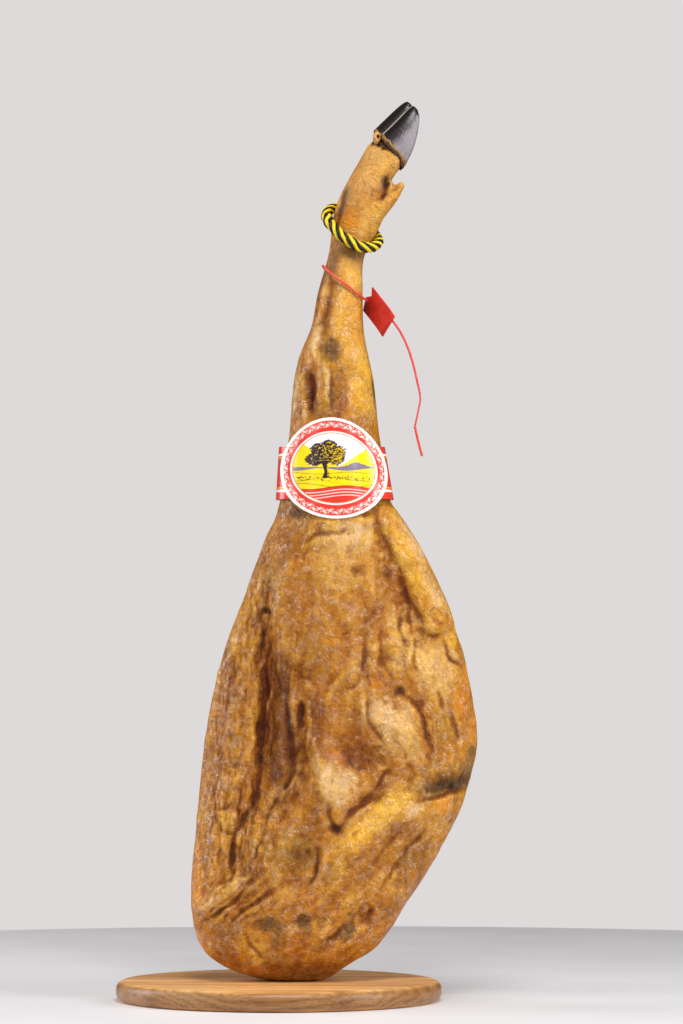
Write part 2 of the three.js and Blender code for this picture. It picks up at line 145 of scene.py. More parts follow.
def settle(piece: Object, name: str) -> Object:
    """Names a piece and moves its place into its mesh, so that its object sits at the origin."""
    only(piece)
    bpy.ops.object.transform_apply(location=True, rotation=True, scale=True)
    piece.name = name
    piece.data.name = name
    return piece


def new_piece(name: str, points: Array, faces: list) -> Object:
    """A mesh piece of points in metres and faces, selected alone."""
    data = bpy.data.meshes.new(name)
    data.from_pydata(points.reshape(-1, 3).tolist(), [], faces)
    data.validate()
    data.update()
    piece = bpy.data.objects.new(name, data)
    bpy.context.collection.objects.link(piece)
    return only(piece)


def points_of(piece: Object, kind: str = "co") -> Array:
    """The places of a mesh's vertices, one row each, or with the kind "normal" their normals."""
    flat = np.empty(len(piece.data.vertices) * 3, np.float32)
    piece.data.vertices.foreach_get(kind, flat)
    return flat.reshape(-1, 3).astype(float)


def move_points(piece: Object, points: Array) -> None:
    """Puts a mesh's vertices at new places."""
    piece.data.vertices.foreach_set("co", points.astype(np.float32).ravel())
    piece.data.update()


def give_colours(piece: Object, name: str, colours: Array) -> None:
    """Gives each vertex a linear colour under that attribute name."""
    attribute = piece.data.attributes.new(name, "FLOAT_COLOR", "POINT")
    whole = np.ones((len(colours), 4), np.float32)
    whole[:, :3] = colours
    attribute.data.foreach_set("color", whole.ravel())


def give_values(piece: Object, name: str, values: Array) -> None:
    """Gives each vertex a number under that attribute name."""
    attribute = piece.data.attributes.new(name, "FLOAT", "POINT")
    attribute.data.foreach_set("value", values.astype(np.float32))


def steps_of(line: Array) -> Array:
    """The distances between a line's neighbouring points."""
    return np.linalg.norm(np.diff(line, axis=0), axis=1)


def smooth_line(points: Array, steps: int) -> Array:
    """A smooth curve of that many steps, evenly spaced, through points in two or three dimensions."""
    points = np.asarray(points, float)
    padded = np.vstack([2 * points[0] - points[1], points, 2 * points[-1] - points[-2]])
    pieces = []
    shares = np.linspace(0, 1, 12, endpoint=False)[:, None]
    for a, b, c, d in zip(padded, padded[1:], padded[2:], padded[3:]):
        cubic = (3 * b - a - 3 * c + d) * shares**3
        pieces.append(0.5 * (2 * b + (c - a) * shares + (2 * a - 5 * b + 4 * c - d) * shares**2 + cubic))
    fine = np.vstack([*pieces, points[-1:]])
    along = np.concatenate([[0], np.cumsum(steps_of(fine))])
    wanted = np.linspace(0, along[-1], steps + 1)
    return np.stack([np.interp(wanted, along, fine[:, k]) for k in range(fine.shape[1])], axis=1)


def mix(colour: Array, tone: "Tone", share: Array) -> Array:
    """Colours with a share of a tone laid over them."""
    weight = np.broadcast_to(share, (len(share),))[:, None]
    return colour * (1 - weight) + tone.rgb()[None, :] * weight


def copy_of(node: Object, name: str) -> Object:
    """A copy of a solid with a mesh of its own, no material, its doubles merged and its faces outwards."""
    piece = node.copy()
    piece.data = node.data.copy()
    piece.parent = None
    for key in list(piece.keys()):
        del piece[key]
    bpy.context.collection.objects.link(piece)
    piece.data.materials.clear()
    settle(piece, name)
    bpy.ops.object.mode_set(mode="EDIT")
    bpy.ops.mesh.select_all(action="SELECT")
    bpy.ops.mesh.remove_doubles(threshold=1e-5)
    bpy.ops.mesh.normals_make_consistent(inside=False)
    bpy.ops.object.mode_set(mode="OBJECT")
    return piece


def loft(name: str, rings: Array) -> Object:
    """Joins rings of points into a closed smooth piece.

    Args:
        name: the piece's name.
        rings: rows of points in metres, each running the same way round.

    Returns:
        The piece.
    """
    count, sides = rings.shape[:2]
    first = np.arange(count - 1)[:, None] * sides
    here = np.arange(sides)[None, :]
    after = (here + 1) % sides
    faces = np.stack([first + here, first + after, first + sides + after, first + sides + here], axis=-1)
    faces = faces.reshape(-1, 4).tolist()
    faces.append(list(range(sides))[::-1])
    faces.append([(count - 1) * sides + index for index in range(sides)])
    piece = new_piece(name, rings, faces)
    bpy.ops.object.mode_set(mode="EDIT")
    bpy.ops.mesh.select_all(action="SELECT")
    bpy.ops.mesh.normals_make_consistent(inside=False)
    bpy.ops.object.mode_set(mode="OBJECT")
    bpy.ops.object.shade_smooth()
    return piece


class Grain:
    """Seeded gradient noise, worked out for many points at once, from about -1 to 1."""

    SIZE = 256

    def __init__(self, seed: int) -> None:
        """Draws the noise's slopes."""
        draw = np.random.default_rng(seed)
        self.order = np.tile(draw.permutation(self.SIZE), 3)
        slopes = draw.normal(size=(self.SIZE, 3))
        self.slopes = slopes / np.linalg.norm(slopes, axis=1, keepdims=True)

    def at(self, points: Array) -> Array:
        """The noise at points whose grain is one unit across."""
        cell = np.floor(points).astype(int)
        inside = points - cell
        fade = inside**3 * (inside * (inside * 6 - 15) + 10)
        cell &= self.SIZE - 1
        total = np.zeros(len(points))
        for corner in range(8):
            step = np.array([corner & 1, corner >> 1 & 1, corner >> 2 & 1])
            near = (cell + step) & (self.SIZE - 1)
            index = self.order[self.order[self.order[near[:, 0]] + near[:, 1]] + near[:, 2]]
            weight = np.prod(np.where(step, fade, 1 - fade), axis=1)
            total += weight * ((inside - step) * self.slopes[index]).sum(axis=1)
        return total * 1.6

    def layers(self, points: Array, count: int, gain: float = 0.5) -> Array:
        """The noise with that many finer layers, each gain times as strong as the one before."""
        total = np.zeros(len(points))
        for layer in range(count):
            total += gain**layer * self.at(points * 2**layer + 17.3 * layer)
        return total


class Tone(Enum):
    """Tones of the cured surface, from its fat to its blackest cracks."""

    CREAM = "#E9C792"
    PALE = "#DAA967"
    PINK = "#D2A171"
    GOLD = "#CF9436"
    YELLOW = "#E3AC46"
    TAN = "#B0761F"
    AMBER = "#B0700F"
    ORANGE = "#D08416"
    BROWN = "#7C4908"
    RUST = "#7E3E04"
    OLIVE = "#8E6B22"
    # Dull grey-brown: some grey patches of the skin, and also painted shade under the rope and along the
    # board
    MOULD = "#6F5630"
    UMBER = "#4C2906"
    DARK = "#2F1907"
    INK = "#2B1F17"
    RED = "#7E2D12"
    STRAW = "#DAA346"
    ASH = "#8C7F6C"

    def rgb(self) -> Array:
        """The tone's linear red, green and blue."""
        return np.array(linear(self.value)[:3])


@dataclass(frozen=True)
class Laid:
    """Where points lie beside a line.

    Args:
        near: the numbers of the points that are near it.
        away: how far each of those is from it, in mm.
        beside: how far each is to its right, following its route, or to its left below zero, in mm.
        along: how far along it each is, in mm.
        fade: how much of the line each has, less towards the line's ends.
    """

    near: Array
    away: Array
    beside: Array
    along: Array
    fade: Array


@dataclass(frozen=True)
class Line:
    """A furrow, crack, ridge or tendon of the meat side.

    Args:
        route: the places that it runs through, in mm.
        width: how far it reaches to each side, in mm.
        rise: how far it stands out, or in below zero, in mm.
        tone: its colour: on a dark furrow partly painted shade, on a pale ridge partly painted highlight.
        strength: how much of that colour it has at its middle.
        spread: the colour's width as a share of the width.
        sharp: whether its bottom or crest is an edge.
    """

    route: tuple[Place, ...]
    width: float
    rise: float
    tone: Tone
    strength: float
    spread: float = 1.0
    sharp: bool = False

    def lay(self, x: Array, height: Array) -> Laid:
        """Finds where points lie beside the line.

        Args:
            x: the points' places across, in mm.
            height: their heights, in mm.

        Returns:
            The points near the line, and where each lies.
        """
        line = smooth_line(np.array(self.route), 26)
        reach = 3.4 * self.width * max(1.0, self.spread)
        low = line.min(axis=0) - reach
        high = line.max(axis=0) + reach
        near = np.nonzero((x > low[0]) & (x < high[0]) & (height > low[1]) & (height < high[1]))[0]
        here = np.stack([x[near], height[near]], axis=1)
        best = np.full(len(near), np.inf)
        along = np.zeros(len(near))
        beside = np.zeros(len(near))
        for index, (a, b) in enumerate(zip(line, line[1:])):
            step = b - a
            share = np.clip((here - a) @ step / (step @ step), 0, 1)
            off = here - a - share[:, None] * step
            away = np.linalg.norm(off, axis=1)
            closer = away < best
            best[closer] = away[closer]
            along[closer] = index + share[closer]
            beside[closer] = (off @ np.array([step[1], -step[0]]) / np.linalg.norm(step))[closer]
        share = along / (len(line) - 1)
        fade = np.sin(np.pi * (0.02 + 0.96 * share)) ** 0.6
        return Laid(near, best, beside, share * steps_of(line).sum(), fade)


@dataclass(frozen=True)
class Patch:
    """A patch of the meat side with a tone of its own, and perhaps a hump or a hollow.

    Args:
        centre: its middle, in mm.
        size: its half width and half height, in mm.
        tone: its colour.
        strength: how much of that colour it has.
        turn: how far it is turned, anticlockwise in degrees.
        rise: how far it stands out, or in below zero, in mm.
        ragged: how uneven its edge is, as a share of its size.
        dry: how much duller it is than the skin round it, or glossier below zero.
    """

    centre: Place
    size: Place
    tone: Tone
    strength: float
    turn: float = 0.0
    rise: float = 0.0
    ragged: float = 0.5
    dry: float = 0.0

    def away(self, x: Array, height: Array) -> Array:
        """How far points are from its middle, 1 being its edge."""
        angle = math.radians(self.turn)
        across = x - self.centre[0]
        up = height - self.centre[1]
        along = across * math.cos(angle) + up * math.sin(angle)
        beside = up * math.cos(angle) - across * math.sin(angle)
        return np.hypot(along / self.size[0], beside / self.size[1])


@dataclass(frozen=True)
class Fibre:
    """A stretch of the meat side whose fibres and wrinkles run one way.

    Args:
        centre: its middle, in mm.
        size: its half width and half height, in mm.
        angle: which way the fibres run, anticlockwise from across, in degrees.
        depth: how deep they are, in mm.
    """

    centre: Place
    size: Place
    angle: float
    depth: float


T = Tone

# Where the fibres run, from the shank down to the butt
FIBRES = (
    Fibre((40, 570), (34, 50), 88, 0.25),
    Fibre((-22, 385), (26, 44), 72, 0.8),
    Fibre((55, 400), (60, 60), 86, 0.1),
    Fibre((-35, 250), (38, 120), 84, 0.75),
    Fibre((10, 240), (30, 110), 92, 0.35),
    Fibre((-45, 140), (40, 50), 66, 0.8),
    Fibre((-45, 78), (42, 24), 38, 1.0),
    Fibre((150, 390), (26, 60), 118, 0.15),
    Fibre((130, 300), (44, 50), 122, 0.2),
    Fibre((120, 235), (40, 34), 128, 0.3),
    Fibre((100, 150), (70, 40), 42, 0.15),
    Fibre((55, 60), (70, 40), 32, 0.25),
)

# The tones, laid one over the other from the first to the last. The dark patches that sink in are partly
# painted shade in their pits and dimples
PATCHES = (
    # Foot and fetlock
    Patch((104, 796), (26, 24), T.PALE, 0.45, 45),
    Patch((92, 780), (20, 16), T.GOLD, 0.5, 50),
    Patch((72, 770), (14, 26), T.TAN, 0.5, 62),
    Patch((68, 737), (11, 12), T.ORANGE, 0.8, 0, -1.5, 0.4, -0.1),
    Patch((92, 735), (16, 26), T.YELLOW, 0.55, -28),
    Patch((112, 764), (10, 14), T.GOLD, 0.5, -28),
    Patch((81, 768), (8, 9), T.BROWN, 0.5, 60, 0, 0.9),
    Patch((88, 790), (6, 12), T.TAN, 0.5, 62, 0, 0.8),
    Patch((68, 765), (5, 4), T.MOULD, 0.9, 40, 0, 0.9),
    Patch((112, 800), (10, 3), T.BROWN, 0.6, -42, 0, 1.0),
    Patch((102, 771), (6, 9), T.ASH, 0.75, -35, -1.0, 1.0, 0.2),
    Patch((102, 757), (4, 6), T.UMBER, 0.75, -50, -1.0, 1.0, 0.2),
    Patch((112, 766), (2, 6), T.MOULD, 0.7, -40, 0, 0.9),
    Patch((107, 771), (1.8, 6), T.STRAW, 0.8, -8, 0, 0.4),
    Patch((64, 762), (8, 16), T.MOULD, 0.55, 60, 0, 0.9),
    Patch((60, 748), (4, 13), T.MOULD, 0.9, -24, 0, 0.9),
    Patch((59, 740), (1.5, 14), T.RED, 0.7, -22, 0, 0.8),
    Patch((100, 806), (16, 5), T.BROWN, 0.6, -38, 0, 0.9, 0.15),
    # Ankle: the grey-brown patches just under the rope are partly the skin's own tone and partly painted
    # shade
    Patch((66, 703), (17, 9), T.MOULD, 0.9, 10, 0, 0.8),
    Patch((70, 702), (8, 6), T.UMBER, 0.5, 10, 0, 1.0),
    Patch((78, 690), (7, 9), T.MOULD, 0.35, 70, 0, 0.8),
    Patch((52, 693), (6, 12), T.GOLD, 0.5, 75),
    # Shank
    Patch((66, 655), (22, 60), T.YELLOW, 0.62, -4, 0, 0.3),
    Patch((62, 600), (26, 48), T.GOLD, 0.5, -4, 0, 0.3),
    Patch((78, 640), (10, 50), T.ORANGE, 0.3, -6, 0, 0.5),
    Patch((43, 660), (6, 44), T.TAN, 0.6, -10, 0, 0.5),
    Patch((50, 652), (5, 34), T.BROWN, 0.5, -14, 0, 0.6),
    Patch((36, 615), (5, 22), T.PALE, 0.55, 5, 0, 0.6),
    Patch((54, 610), (10, 14), T.UMBER, 0.75, 10, 0.5, 1.0, 0.2),
    Patch((48, 618), (8, 8), T.UMBER, 0.4, 0, 0, 0.9),
    Patch((93, 576), (4, 17), T.INK, 0.8, 8, 0, 0.6),
    Patch((92, 560), (5, 14), T.MOULD, 0.6, 8, 0, 0.6),
    Patch((85, 575), (12, 40), T.YELLOW, 0.45, 6, 0, 0.4),
    Patch((60, 555), (8, 16), T.RED, 0.32, 10, 0, 0.7),
    Patch((77, 604), (7, 8), T.PINK, 0.55, 0, 0, 0.7),
    Patch((24, 565), (8, 34), T.ORANGE, 0.5, 8, 0, 0.4, -0.05),
    Patch((50, 560), (12, 26), T.BROWN, 0.6, 4, 0, 0.7),
    Patch((32, 566), (10, 30), T.RUST, 0.6, 6, 0, 0.6),
    Patch((46, 575), (5, 20), T.PALE, 0.5, 2, 0, 0.9, 0.1),
    Patch((70, 560), (12, 26), T.GOLD, 0.5),
    # Thigh, from under the sleeve down
    Patch((20, 432), (26, 20), T.BROWN, 0.6, 10, 0, 0.6),
    # Painted shadow under the label's lower edge: the umber and near-black patches just below it
    Patch((24, 452), (22, 10), T.UMBER, 0.55, 0, 0, 0.8),
    Patch((19, 449), (8, 6), T.INK, 0.7, 10, 0, 0.9),
    Patch((45, 446), (14, 6), T.PALE, 0.4, 0, 0, 0.9),
    Patch((70, 430), (36, 20), T.CREAM, 0.6, 6, 0, 0.8),
    Patch((92, 428), (12, 10), T.YELLOW, 0.4, 20, 0, 0.5),
    Patch((62, 400), (40, 34), T.GOLD, 0.4, 0, 0, 0.6),
    Patch((74, 395), (5, 4), T.RED, 0.6, 20, -1.5, 0.9),
    Patch((74, 395), (12, 9), T.BROWN, 0.4, 0, -1, 0.8),
    Patch((126, 420), (14, 38), T.ORANGE, 0.6, 30, 0, 0.4, -0.08),
    Patch((128, 424), (8, 34), T.CREAM, 0.6, 30, 0, 0.7, -0.08),
    Patch((148, 378), (14, 34), T.ORANGE, 0.55, 32, 0, 0.4, -0.08),
    Patch((150, 376), (8, 28), T.CREAM, 0.55, 32, 0, 0.7, -0.08),
    Patch((-8, 395), (20, 40), T.BROWN, 0.35, -20, 0, 0.7),
    Patch((-16, 378), (8, 30), T.PALE, 0.4, -22, 0, 0.9),
    Patch((20, 372), (16, 52), T.AMBER, 0.75, 0, 0, 0.6, -0.05),
    Patch((62, 365), (26, 26), T.AMBER, 0.42, 0, 0, 0.6),
    Patch((60, 332), (20, 12), T.ORANGE, 0.3, 0, 0, 0.7),
    Patch((104, 370), (14, 40), T.BROWN, 0.45, 12, 0, 0.6),
    Patch((108, 322), (12, 10), T.TAN, 0.5, 0, 2.5, 0.4),
    Patch((109, 321), (3.5, 2.5), T.UMBER, 0.6, 0, -1.0, 0.8),
    Patch((150, 345), (14, 12), T.ORANGE, 0.5, 0, 2, 0.5),
    Patch((152, 300), (24, 34), T.PALE, 0.72, 10, 0, 0.5, 0.12),
    Patch((156, 312), (14, 16), T.PINK, 0.3, 0, 0, 0.7, 0.12),
    Patch((182, 290), (7, 46), T.ORANGE, 0.8, -14, 0, 0.3, -0.08),
    Patch((188, 246), (6, 26), T.ORANGE, 0.6, 0, 0, 0.4, -0.08),
    Patch((116, 350), (16, 30), T.GOLD, 0.5, 20, 0, 0.7),
    Patch((136, 330), (14, 24), T.PALE, 0.5, 0, 0, 0.8),
    # Left flank
    Patch((-40, 300), (20, 44), T.BROWN, 0.4, 12, 0, 0.7),
    Patch((-42, 322), (6, 22), T.STRAW, 0.3, 24, 0, 0.9),
    Patch((-52, 250), (16, 50), T.AMBER, 0.5, 8, 0, 0.6),
    Patch((-34, 258), (12, 40), T.BROWN, 0.3, 4, 0, 0.8),
    Patch((-56, 188), (20, 40), T.AMBER, 0.45, 4, 0, 0.6),
    Patch((-36, 196), (12, 40), T.BROWN, 0.4, 4, 0, 0.7),
    Patch((-50, 155), (9, 10), T.YELLOW, 0.6, 0, 2.5, 0.5),
    Patch((-80, 100), (8, 46), T.ORANGE, 1.0, 3, 0, 0.2, -0.1),
    Patch((-81, 40), (9, 18), T.ORANGE, 0.85, 30, 0, 0.3, -0.1),
    Patch((-3, 280), (9, 60), T.RUST, 0.6, 0, 0, 0.5, -0.08),
    Patch((-4, 210), (9, 40), T.RUST, 0.55, 8, 0, 0.5, -0.08),
    Patch((-4, 330), (9, 30), T.AMBER, 0.5, 0, 0, 0.6),
    Patch((-1, 246), (15, 84), T.RUST, 0.95, 0, 0, 0.5, -0.1),
    Patch((2, 240), (12, 66), T.UMBER, 0.7, 0, 0, 0.8, -0.1),
    # Middle
    Patch((45, 285), (24, 40), T.AMBER, 0.6, 0, 0, 0.6),
    Patch((34, 262), (14, 18), T.RUST, 0.5, 0, 0, 0.8),
    Patch((32, 236), (16, 40), T.RUST, 0.75, 0, 0, 0.7, -0.06),
    Patch((40, 200), (16, 26), T.TAN, 0.5, -20, 0, 0.6),
    Patch((54, 188), (15, 26), T.PALE, 0.8, 30, 1.2, 0.7),
    Patch((58, 184), (11, 14), T.CREAM, 0.85, 30, 0.8, 0.8),
    Patch((44, 176), (8, 16), T.PINK, 0.4, 10, 0, 0.9),
    Patch((34, 214), (6, 12), T.PALE, 0.5, 10, 0, 0.9),
    Patch((20, 180), (16, 16), T.AMBER, 0.6, 30, 0, 0.6),
    Patch((14, 188), (5, 12), T.PALE, 0.45, -30, 0, 0.9),
    Patch((56, 148), (7, 6), T.INK, 0.85, 0, -3, 0.7),
    Patch((98, 286), (18, 10), T.AMBER, 0.95, 0, 2.0, 0.3, -0.12),
    Patch((98, 288), (12, 5), T.ORANGE, 0.5, 0, 0, 0.4, -0.12),
    Patch((117, 280), (6, 6), T.UMBER, 0.7, 0, -2.5, 0.6),
    Patch((112, 242), (30, 26), T.PALE, 0.85, -32, 1.5, 0.5, 0.14),
    Patch((96, 262), (16, 14), T.PINK, 0.6, 0, 0.8, 0.7, 0.14),
    Patch((128, 222), (18, 12), T.CREAM, 0.3, -30, 0, 0.7, 0.1),
    Patch((104, 248), (2.2, 10), T.RED, 0.5, 20, 0, 0.8),
    Patch((78, 226), (24, 29), T.AMBER, 0.9, 0, 0, 0.4, -0.14),
    Patch((80, 228), (21, 26), T.RUST, 0.85, 0, 0, 0.5, -0.14),
    Patch((54, 216), (8, 12), T.ORANGE, 0.6, 20, 0, 0.6, -0.16),
    Patch((90, 246), (10, 5), T.RED, 0.45, -30, 0, 1.0),
    Patch((98, 214), (7, 6), T.UMBER, 0.6, 40, 0, 1.0),
    Patch((156, 250), (20, 20), T.OLIVE, 0.5, 0, 0, 0.6),
    Patch((168, 222), (20, 12), T.AMBER, 0.6, 0, 0, 0.6),
    Patch((187, 220), (6, 10), T.MOULD, 0.8, 0, 0, 0.6),
    # Lower right: the wide dark grey and near-black band along the crease is partly the skin's own colour
    # and partly painted shade
    Patch((160, 188), (32, 9), T.MOULD, 0.8, 12, 0, 0.6, 0.1),
    Patch((164, 190), (30, 7), T.INK, 0.8, 10, 0, 1.0, 0.1),
    Patch((150, 176), (20, 6), T.MOULD, 0.5, 10, 0, 0.9),
    Patch((182, 204), (9, 12), T.MOULD, 0.8, 20, 0, 0.9),
    Patch((152, 205), (26, 8), T.OLIVE, 0.5, 10, 0, 0.6),
    Patch((150, 158), (24, 24), T.GOLD, 0.55, 40, 0, 0.5),
    Patch((160, 172), (14, 10), T.ORANGE, 0.6, 40, 0, 0.6, -0.05),
    Patch((130, 166), (9, 7), T.CREAM, 0.55, 20, 0, 0.8, 0.05),
    Patch((108, 165), (36, 11), T.YELLOW, 0.9, 40, 0, 0.5, -0.06),
    Patch((78, 142), (26, 10), T.YELLOW, 0.8, 38, 0, 0.5, -0.06),
    Patch((60, 128), (18, 10), T.GOLD, 0.7, 34, 0, 0.6),
    Patch((110, 128), (20, 10), T.TAN, 0.6, 48, 0, 0.6),
    Patch((130, 120), (14, 22), T.MOULD, 0.45, -38, 0, 0.7),
    Patch((166, 153), (4, 4), T.DARK, 0.5, 0, 0, 0.7),
    # Butt
    Patch((-36, 110), (24, 30), T.BROWN, 0.6, 30, 0, 0.7, 0.05),
    Patch((10, 120), (26, 26), T.OLIVE, 0.5, 30, 0, 0.7),
    Patch((30, 100), (20, 16), T.TAN, 0.5, 30, 0, 0.6),
    Patch((-56, 78), (26, 12), T.PALE, 0.5, 36, 0, 0.8),
    Patch((-22, 35), (22, 13), T.YELLOW, 0.75, -50, -1, 0.5, -0.08),
    Patch((-20, 38), (9, 14), T.PALE, 0.4, 20, 0, 0.8),
    Patch((-50, 40), (12, 24), T.BROWN, 0.6, 30, 0, 0.6),
    Patch((-9, 57), (17, 8), T.INK, 0.75, -10, -1, 1.0, 0.1),
    Patch((1, 40), (9, 12), T.INK, 0.5, 0, 0, 0.9, 0.1),
    Patch((23, 61), (9, 9), T.INK, 0.85, 0, -1.5, 1.0, 0.1),
    Patch((66, 49), (13, 8), T.INK, 0.7, 40, 0, 1.0, 0.1),
    Patch((-47, 88), (5, 5), T.DARK, 0.5, 0, 0, 0.8),
    Patch((69, 78), (12, 10), T.YELLOW, 0.55, 30, 0.8, 0.7),
    Patch((22, 29), (22, 12), T.AMBER, 0.6, 0, 0, 0.6),
    Patch((99, 92), (12, 12), T.GOLD, 0.7, 40, 0.8, 0.7),
    Patch((82, 105), (12, 6), T.BROWN, 0.5, 30, 0, 0.8),
    Patch((86, 64), (9, 9), T.BROWN, 0.5, 0, -1.2, 0.8),
    Patch((42, 76), (12, 10), T.BROWN, 0.4, 0, 0, 0.8),
    Patch((112, 60), (10, 34), T.AMBER, 0.6, -36, 0, 0.5),
    Patch((120, 52), (6, 30), T.ORANGE, 0.7, -36, 0, 0.4, -0.08),
    # A darker brown band along the bottom, where the ham meets the board: partly grit, partly painted
    # contact shadow
    Patch((28, 10), (50, 9), T.BROWN, 0.55, 0, 0, 0.9, 0.1),
    Patch((-42, 92), (16, 4), T.CREAM, 0.6, 40, 0, 1.0),
    Patch((-66, 76), (12, 4), T.CREAM, 0.6, 36, 0, 1.0),
    Patch((10, 86), (12, 9), T.PALE, 0.4, 0, 0, 1.0),
    Patch((54, 112), (14, 10), T.OLIVE, 0.5, 30, 0, 0.9),
    Patch((88, 40), (14, 10), T.AMBER, 0.5, 40, 0, 0.8),
    Patch((44, 60), (12, 8), T.MOULD, 0.6, 20, 0, 1.0, 0.1),
    Patch((4, 24), (16, 6), T.MOULD, 0.5, 0, 0, 1.0, 0.1),
    # Finer marks: foot and ankle
    Patch((86, 790), (22, 46), T.PALE, 0.4, -26, 0, 0.6),
    Patch((64, 754), (5, 14), T.MOULD, 0.95, -24, 0, 0.7, 0.1),
    Patch((68, 733), (8, 12), T.ORANGE, 0.8, 0, 0, 0.6),
    Patch((103, 772), (6, 9), T.MOULD, 0.85, 0, 0, 1.1, 0.15),
    Patch((107.3, 771.5), (1.6, 6), T.CREAM, 0.8, 0, 0, 0.5),
    Patch((101.5, 757), (4, 6), T.UMBER, 0.9, -20, 0, 1.0, 0.15),
    Patch((112, 765.5), (7.5, 2.0), T.MOULD, 0.85, 42, 0, 0.9, 0.1),
    Patch((120, 771), (4, 4), T.CREAM, 0.5, 0, 0, 0.6),
    Patch((48, 693), (10, 15), T.MOULD, 0.85, 0, 0, 0.9, 0.1),
    Patch((41, 670), (4, 15), T.BROWN, 0.75, -14, 0, 0.8),
    # Painted shade under the rope, over the skin's own grey-brown
    Patch((76, 698), (10, 4), T.MOULD, 0.75, 0, 0, 0.9),
    Patch((73, 677), (12, 15), T.YELLOW, 0.6, 0, 0, 0.5),
    Patch((80, 650), (3.5, 12), T.BROWN, 0.5, 0, 0, 0.6),
    # Finer marks: shank and hock
    Patch((43, 637), (3.6, 17), T.BROWN, 0.6, -10, 0, 0.8),
    # A painted highlight along the pale tendon
    Patch((36.3, 618), (2.4, 16), T.CREAM, 0.95, -6, 0, 0.6),
    Patch((50, 607), (9, 13), T.MOULD, 0.9, 8, 0, 1.0, 0.12),
    Patch((52, 612), (6, 8), T.UMBER, 0.45, 20, 0, 1.1),
    Patch((78, 592), (15, 56), T.YELLOW, 0.45, 4, 0, 0.5),
    Patch((72, 606), (4, 8), T.PINK, 0.5, 0, 0, 0.7),
    Patch((41, 567), (3.6, 24), T.AMBER, 0.85, 0, 0, 0.7),
    Patch((48.5, 571), (3.4, 22), T.CREAM, 0.75, 6, 0, 1.2),
    Patch((57, 567), (5, 25), T.RUST, 0.7, 0, 0, 0.8),
    Patch((61, 553), (4, 8), T.RED, 0.55, 0, 0, 0.9),
    Patch((93, 572), (3.8, 19), T.INK, 0.9, 4, 0, 0.6),
    Patch((24, 562), (4, 26), T.BROWN, 0.7, -6, 0, 0.9),
    Patch((16.5, 566), (2.4, 34), T.CREAM, 0.6, -8, 0, 0.7),
    Patch((26, 548), (3, 7), T.CREAM, 0.7, 0, 0, 1.1),
    # Finer marks: thigh
    Patch((60, 188), (15, 20), T.CREAM, 0.85, -20, 0, 1.5, -0.05),
    Patch((48, 202), (6, 14), T.CREAM, 0.6, -20, 0, 0.8),
    Patch((104, 250), (32, 24), T.CREAM, 0.35, -30, 0, 0.9),
    Patch((76, 258), (7, 9), T.RED, 0.45, -30, 0, 1.0),
    Patch((76, 226), (22, 24), T.RUST, 0.6, 0, 0, 0.5, -0.14),
    Patch((56, 216), (8, 12), T.ORANGE, 0.5, 20, 0, 0.8, -0.1),
    Patch((1, 250), (10, 52), T.RUST, 0.7, 0, 0, 0.6, -0.1),
    Patch((-4, 262), (4, 40), T.AMBER, 0.6, 0, 0, 0.8),
    Patch((30, 172), (14, 18), T.AMBER, 0.7, 10, 0, 0.8, -0.08),
    Patch((96, 290), (18, 12), T.AMBER, 0.75, 0, 0, 0.8, -0.08),
    Patch((70, 320), (14, 16), T.RUST, 0.35, 0, 0, 1.0),
    Patch((-58, 240), (16, 60), T.AMBER, 0.5, 6, 0, 1.0),
    Patch((-84, 190), (6, 40), T.ORANGE, 0.5, 4, 0, 0.8),
    Patch((-88, 110), (7, 50), T.ORANGE, 0.75, 0, 0, 0.6),
    Patch((86, 152), (46, 10), T.YELLOW, 0.5, 36, 0, 0.6),
    Patch((124, 400), (9, 44), T.YELLOW, 0.7, 24, 0, 0.5),
    Patch((98, 424), (8, 26), T.YELLOW, 0.55, 10, 0, 0.6),
    Patch((52, 400), (26, 34), T.PALE, 0.35, 0, 0, 0.8),
    Patch((62, 446), (34, 7), T.YELLOW, 0.6, 0, 0, 0.7),
    Patch((168, 330), (6, 22), T.YELLOW, 0.7, -18, 0, 0.6),
    Patch((158, 194), (30, 9), T.UMBER, 0.5, 12, 0, 0.9, 0.1),
    Patch((160, 188), (24, 4), T.INK, 0.55, 12, 0, 0.9, 0.1),
    # Finer marks: butt
    Patch((-8, 54), (10, 6), T.MOULD, 0.8, 0, 0, 1.1, 0.12),
    Patch((22, 56), (7, 8), T.MOULD, 0.9, 0, 0, 1.1, 0.12),
    Patch((66, 46), (8, 8), T.MOULD, 0.8, 20, 0, 1.1, 0.12),
    Patch((-32, 40), (14, 12), T.GOLD, 0.6, 0, 0, 0.7),
    # Along the bottom, where the ham meets the board: partly grit, partly painted contact shadow
    Patch((28, 8), (26, 6), T.MOULD, 0.7, 0, 0, 1.2, 0.12),
    Patch((58, 110), (10, 8), T.YELLOW, 0.6, 20, 0, 0.9),
    # Darker tones laid over the rest
    Patch((0, 262), (12, 62), T.UMBER, 0.5, -4, 0, 0.6, -0.05),
    Patch((24, 226), (10, 34), T.BROWN, 0.6, 0, 0, 0.8, -0.08),
    Patch((42, 238), (12, 26), T.RUST, 0.45, 0, 0, 0.9, -0.08),
    Patch((36, 262), (12, 16), T.BROWN, 0.45, 0, 0, 0.9),
    Patch((-46, 262), (12, 70), T.BROWN, 0.45, 8, 0, 1.1),
    Patch((-62, 200), (12, 46), T.BROWN, 0.4, 4, 0, 1.1),
    Patch((-26, 226), (6, 52), T.AMBER, 0.5, 0, 0, 1.0),
    Patch((34, 160), (14, 14), T.BROWN, 0.5, 20, 0, 0.9),
    Patch((20, 130), (18, 20), T.OLIVE, 0.4, 0, 0, 1.0),
    # Along the bottom, where the ham meets the board: partly grit, partly painted contact shadow
    Patch((30, 14), (46, 9), T.BROWN, 0.5, 0, 0, 0.8, 0.1),
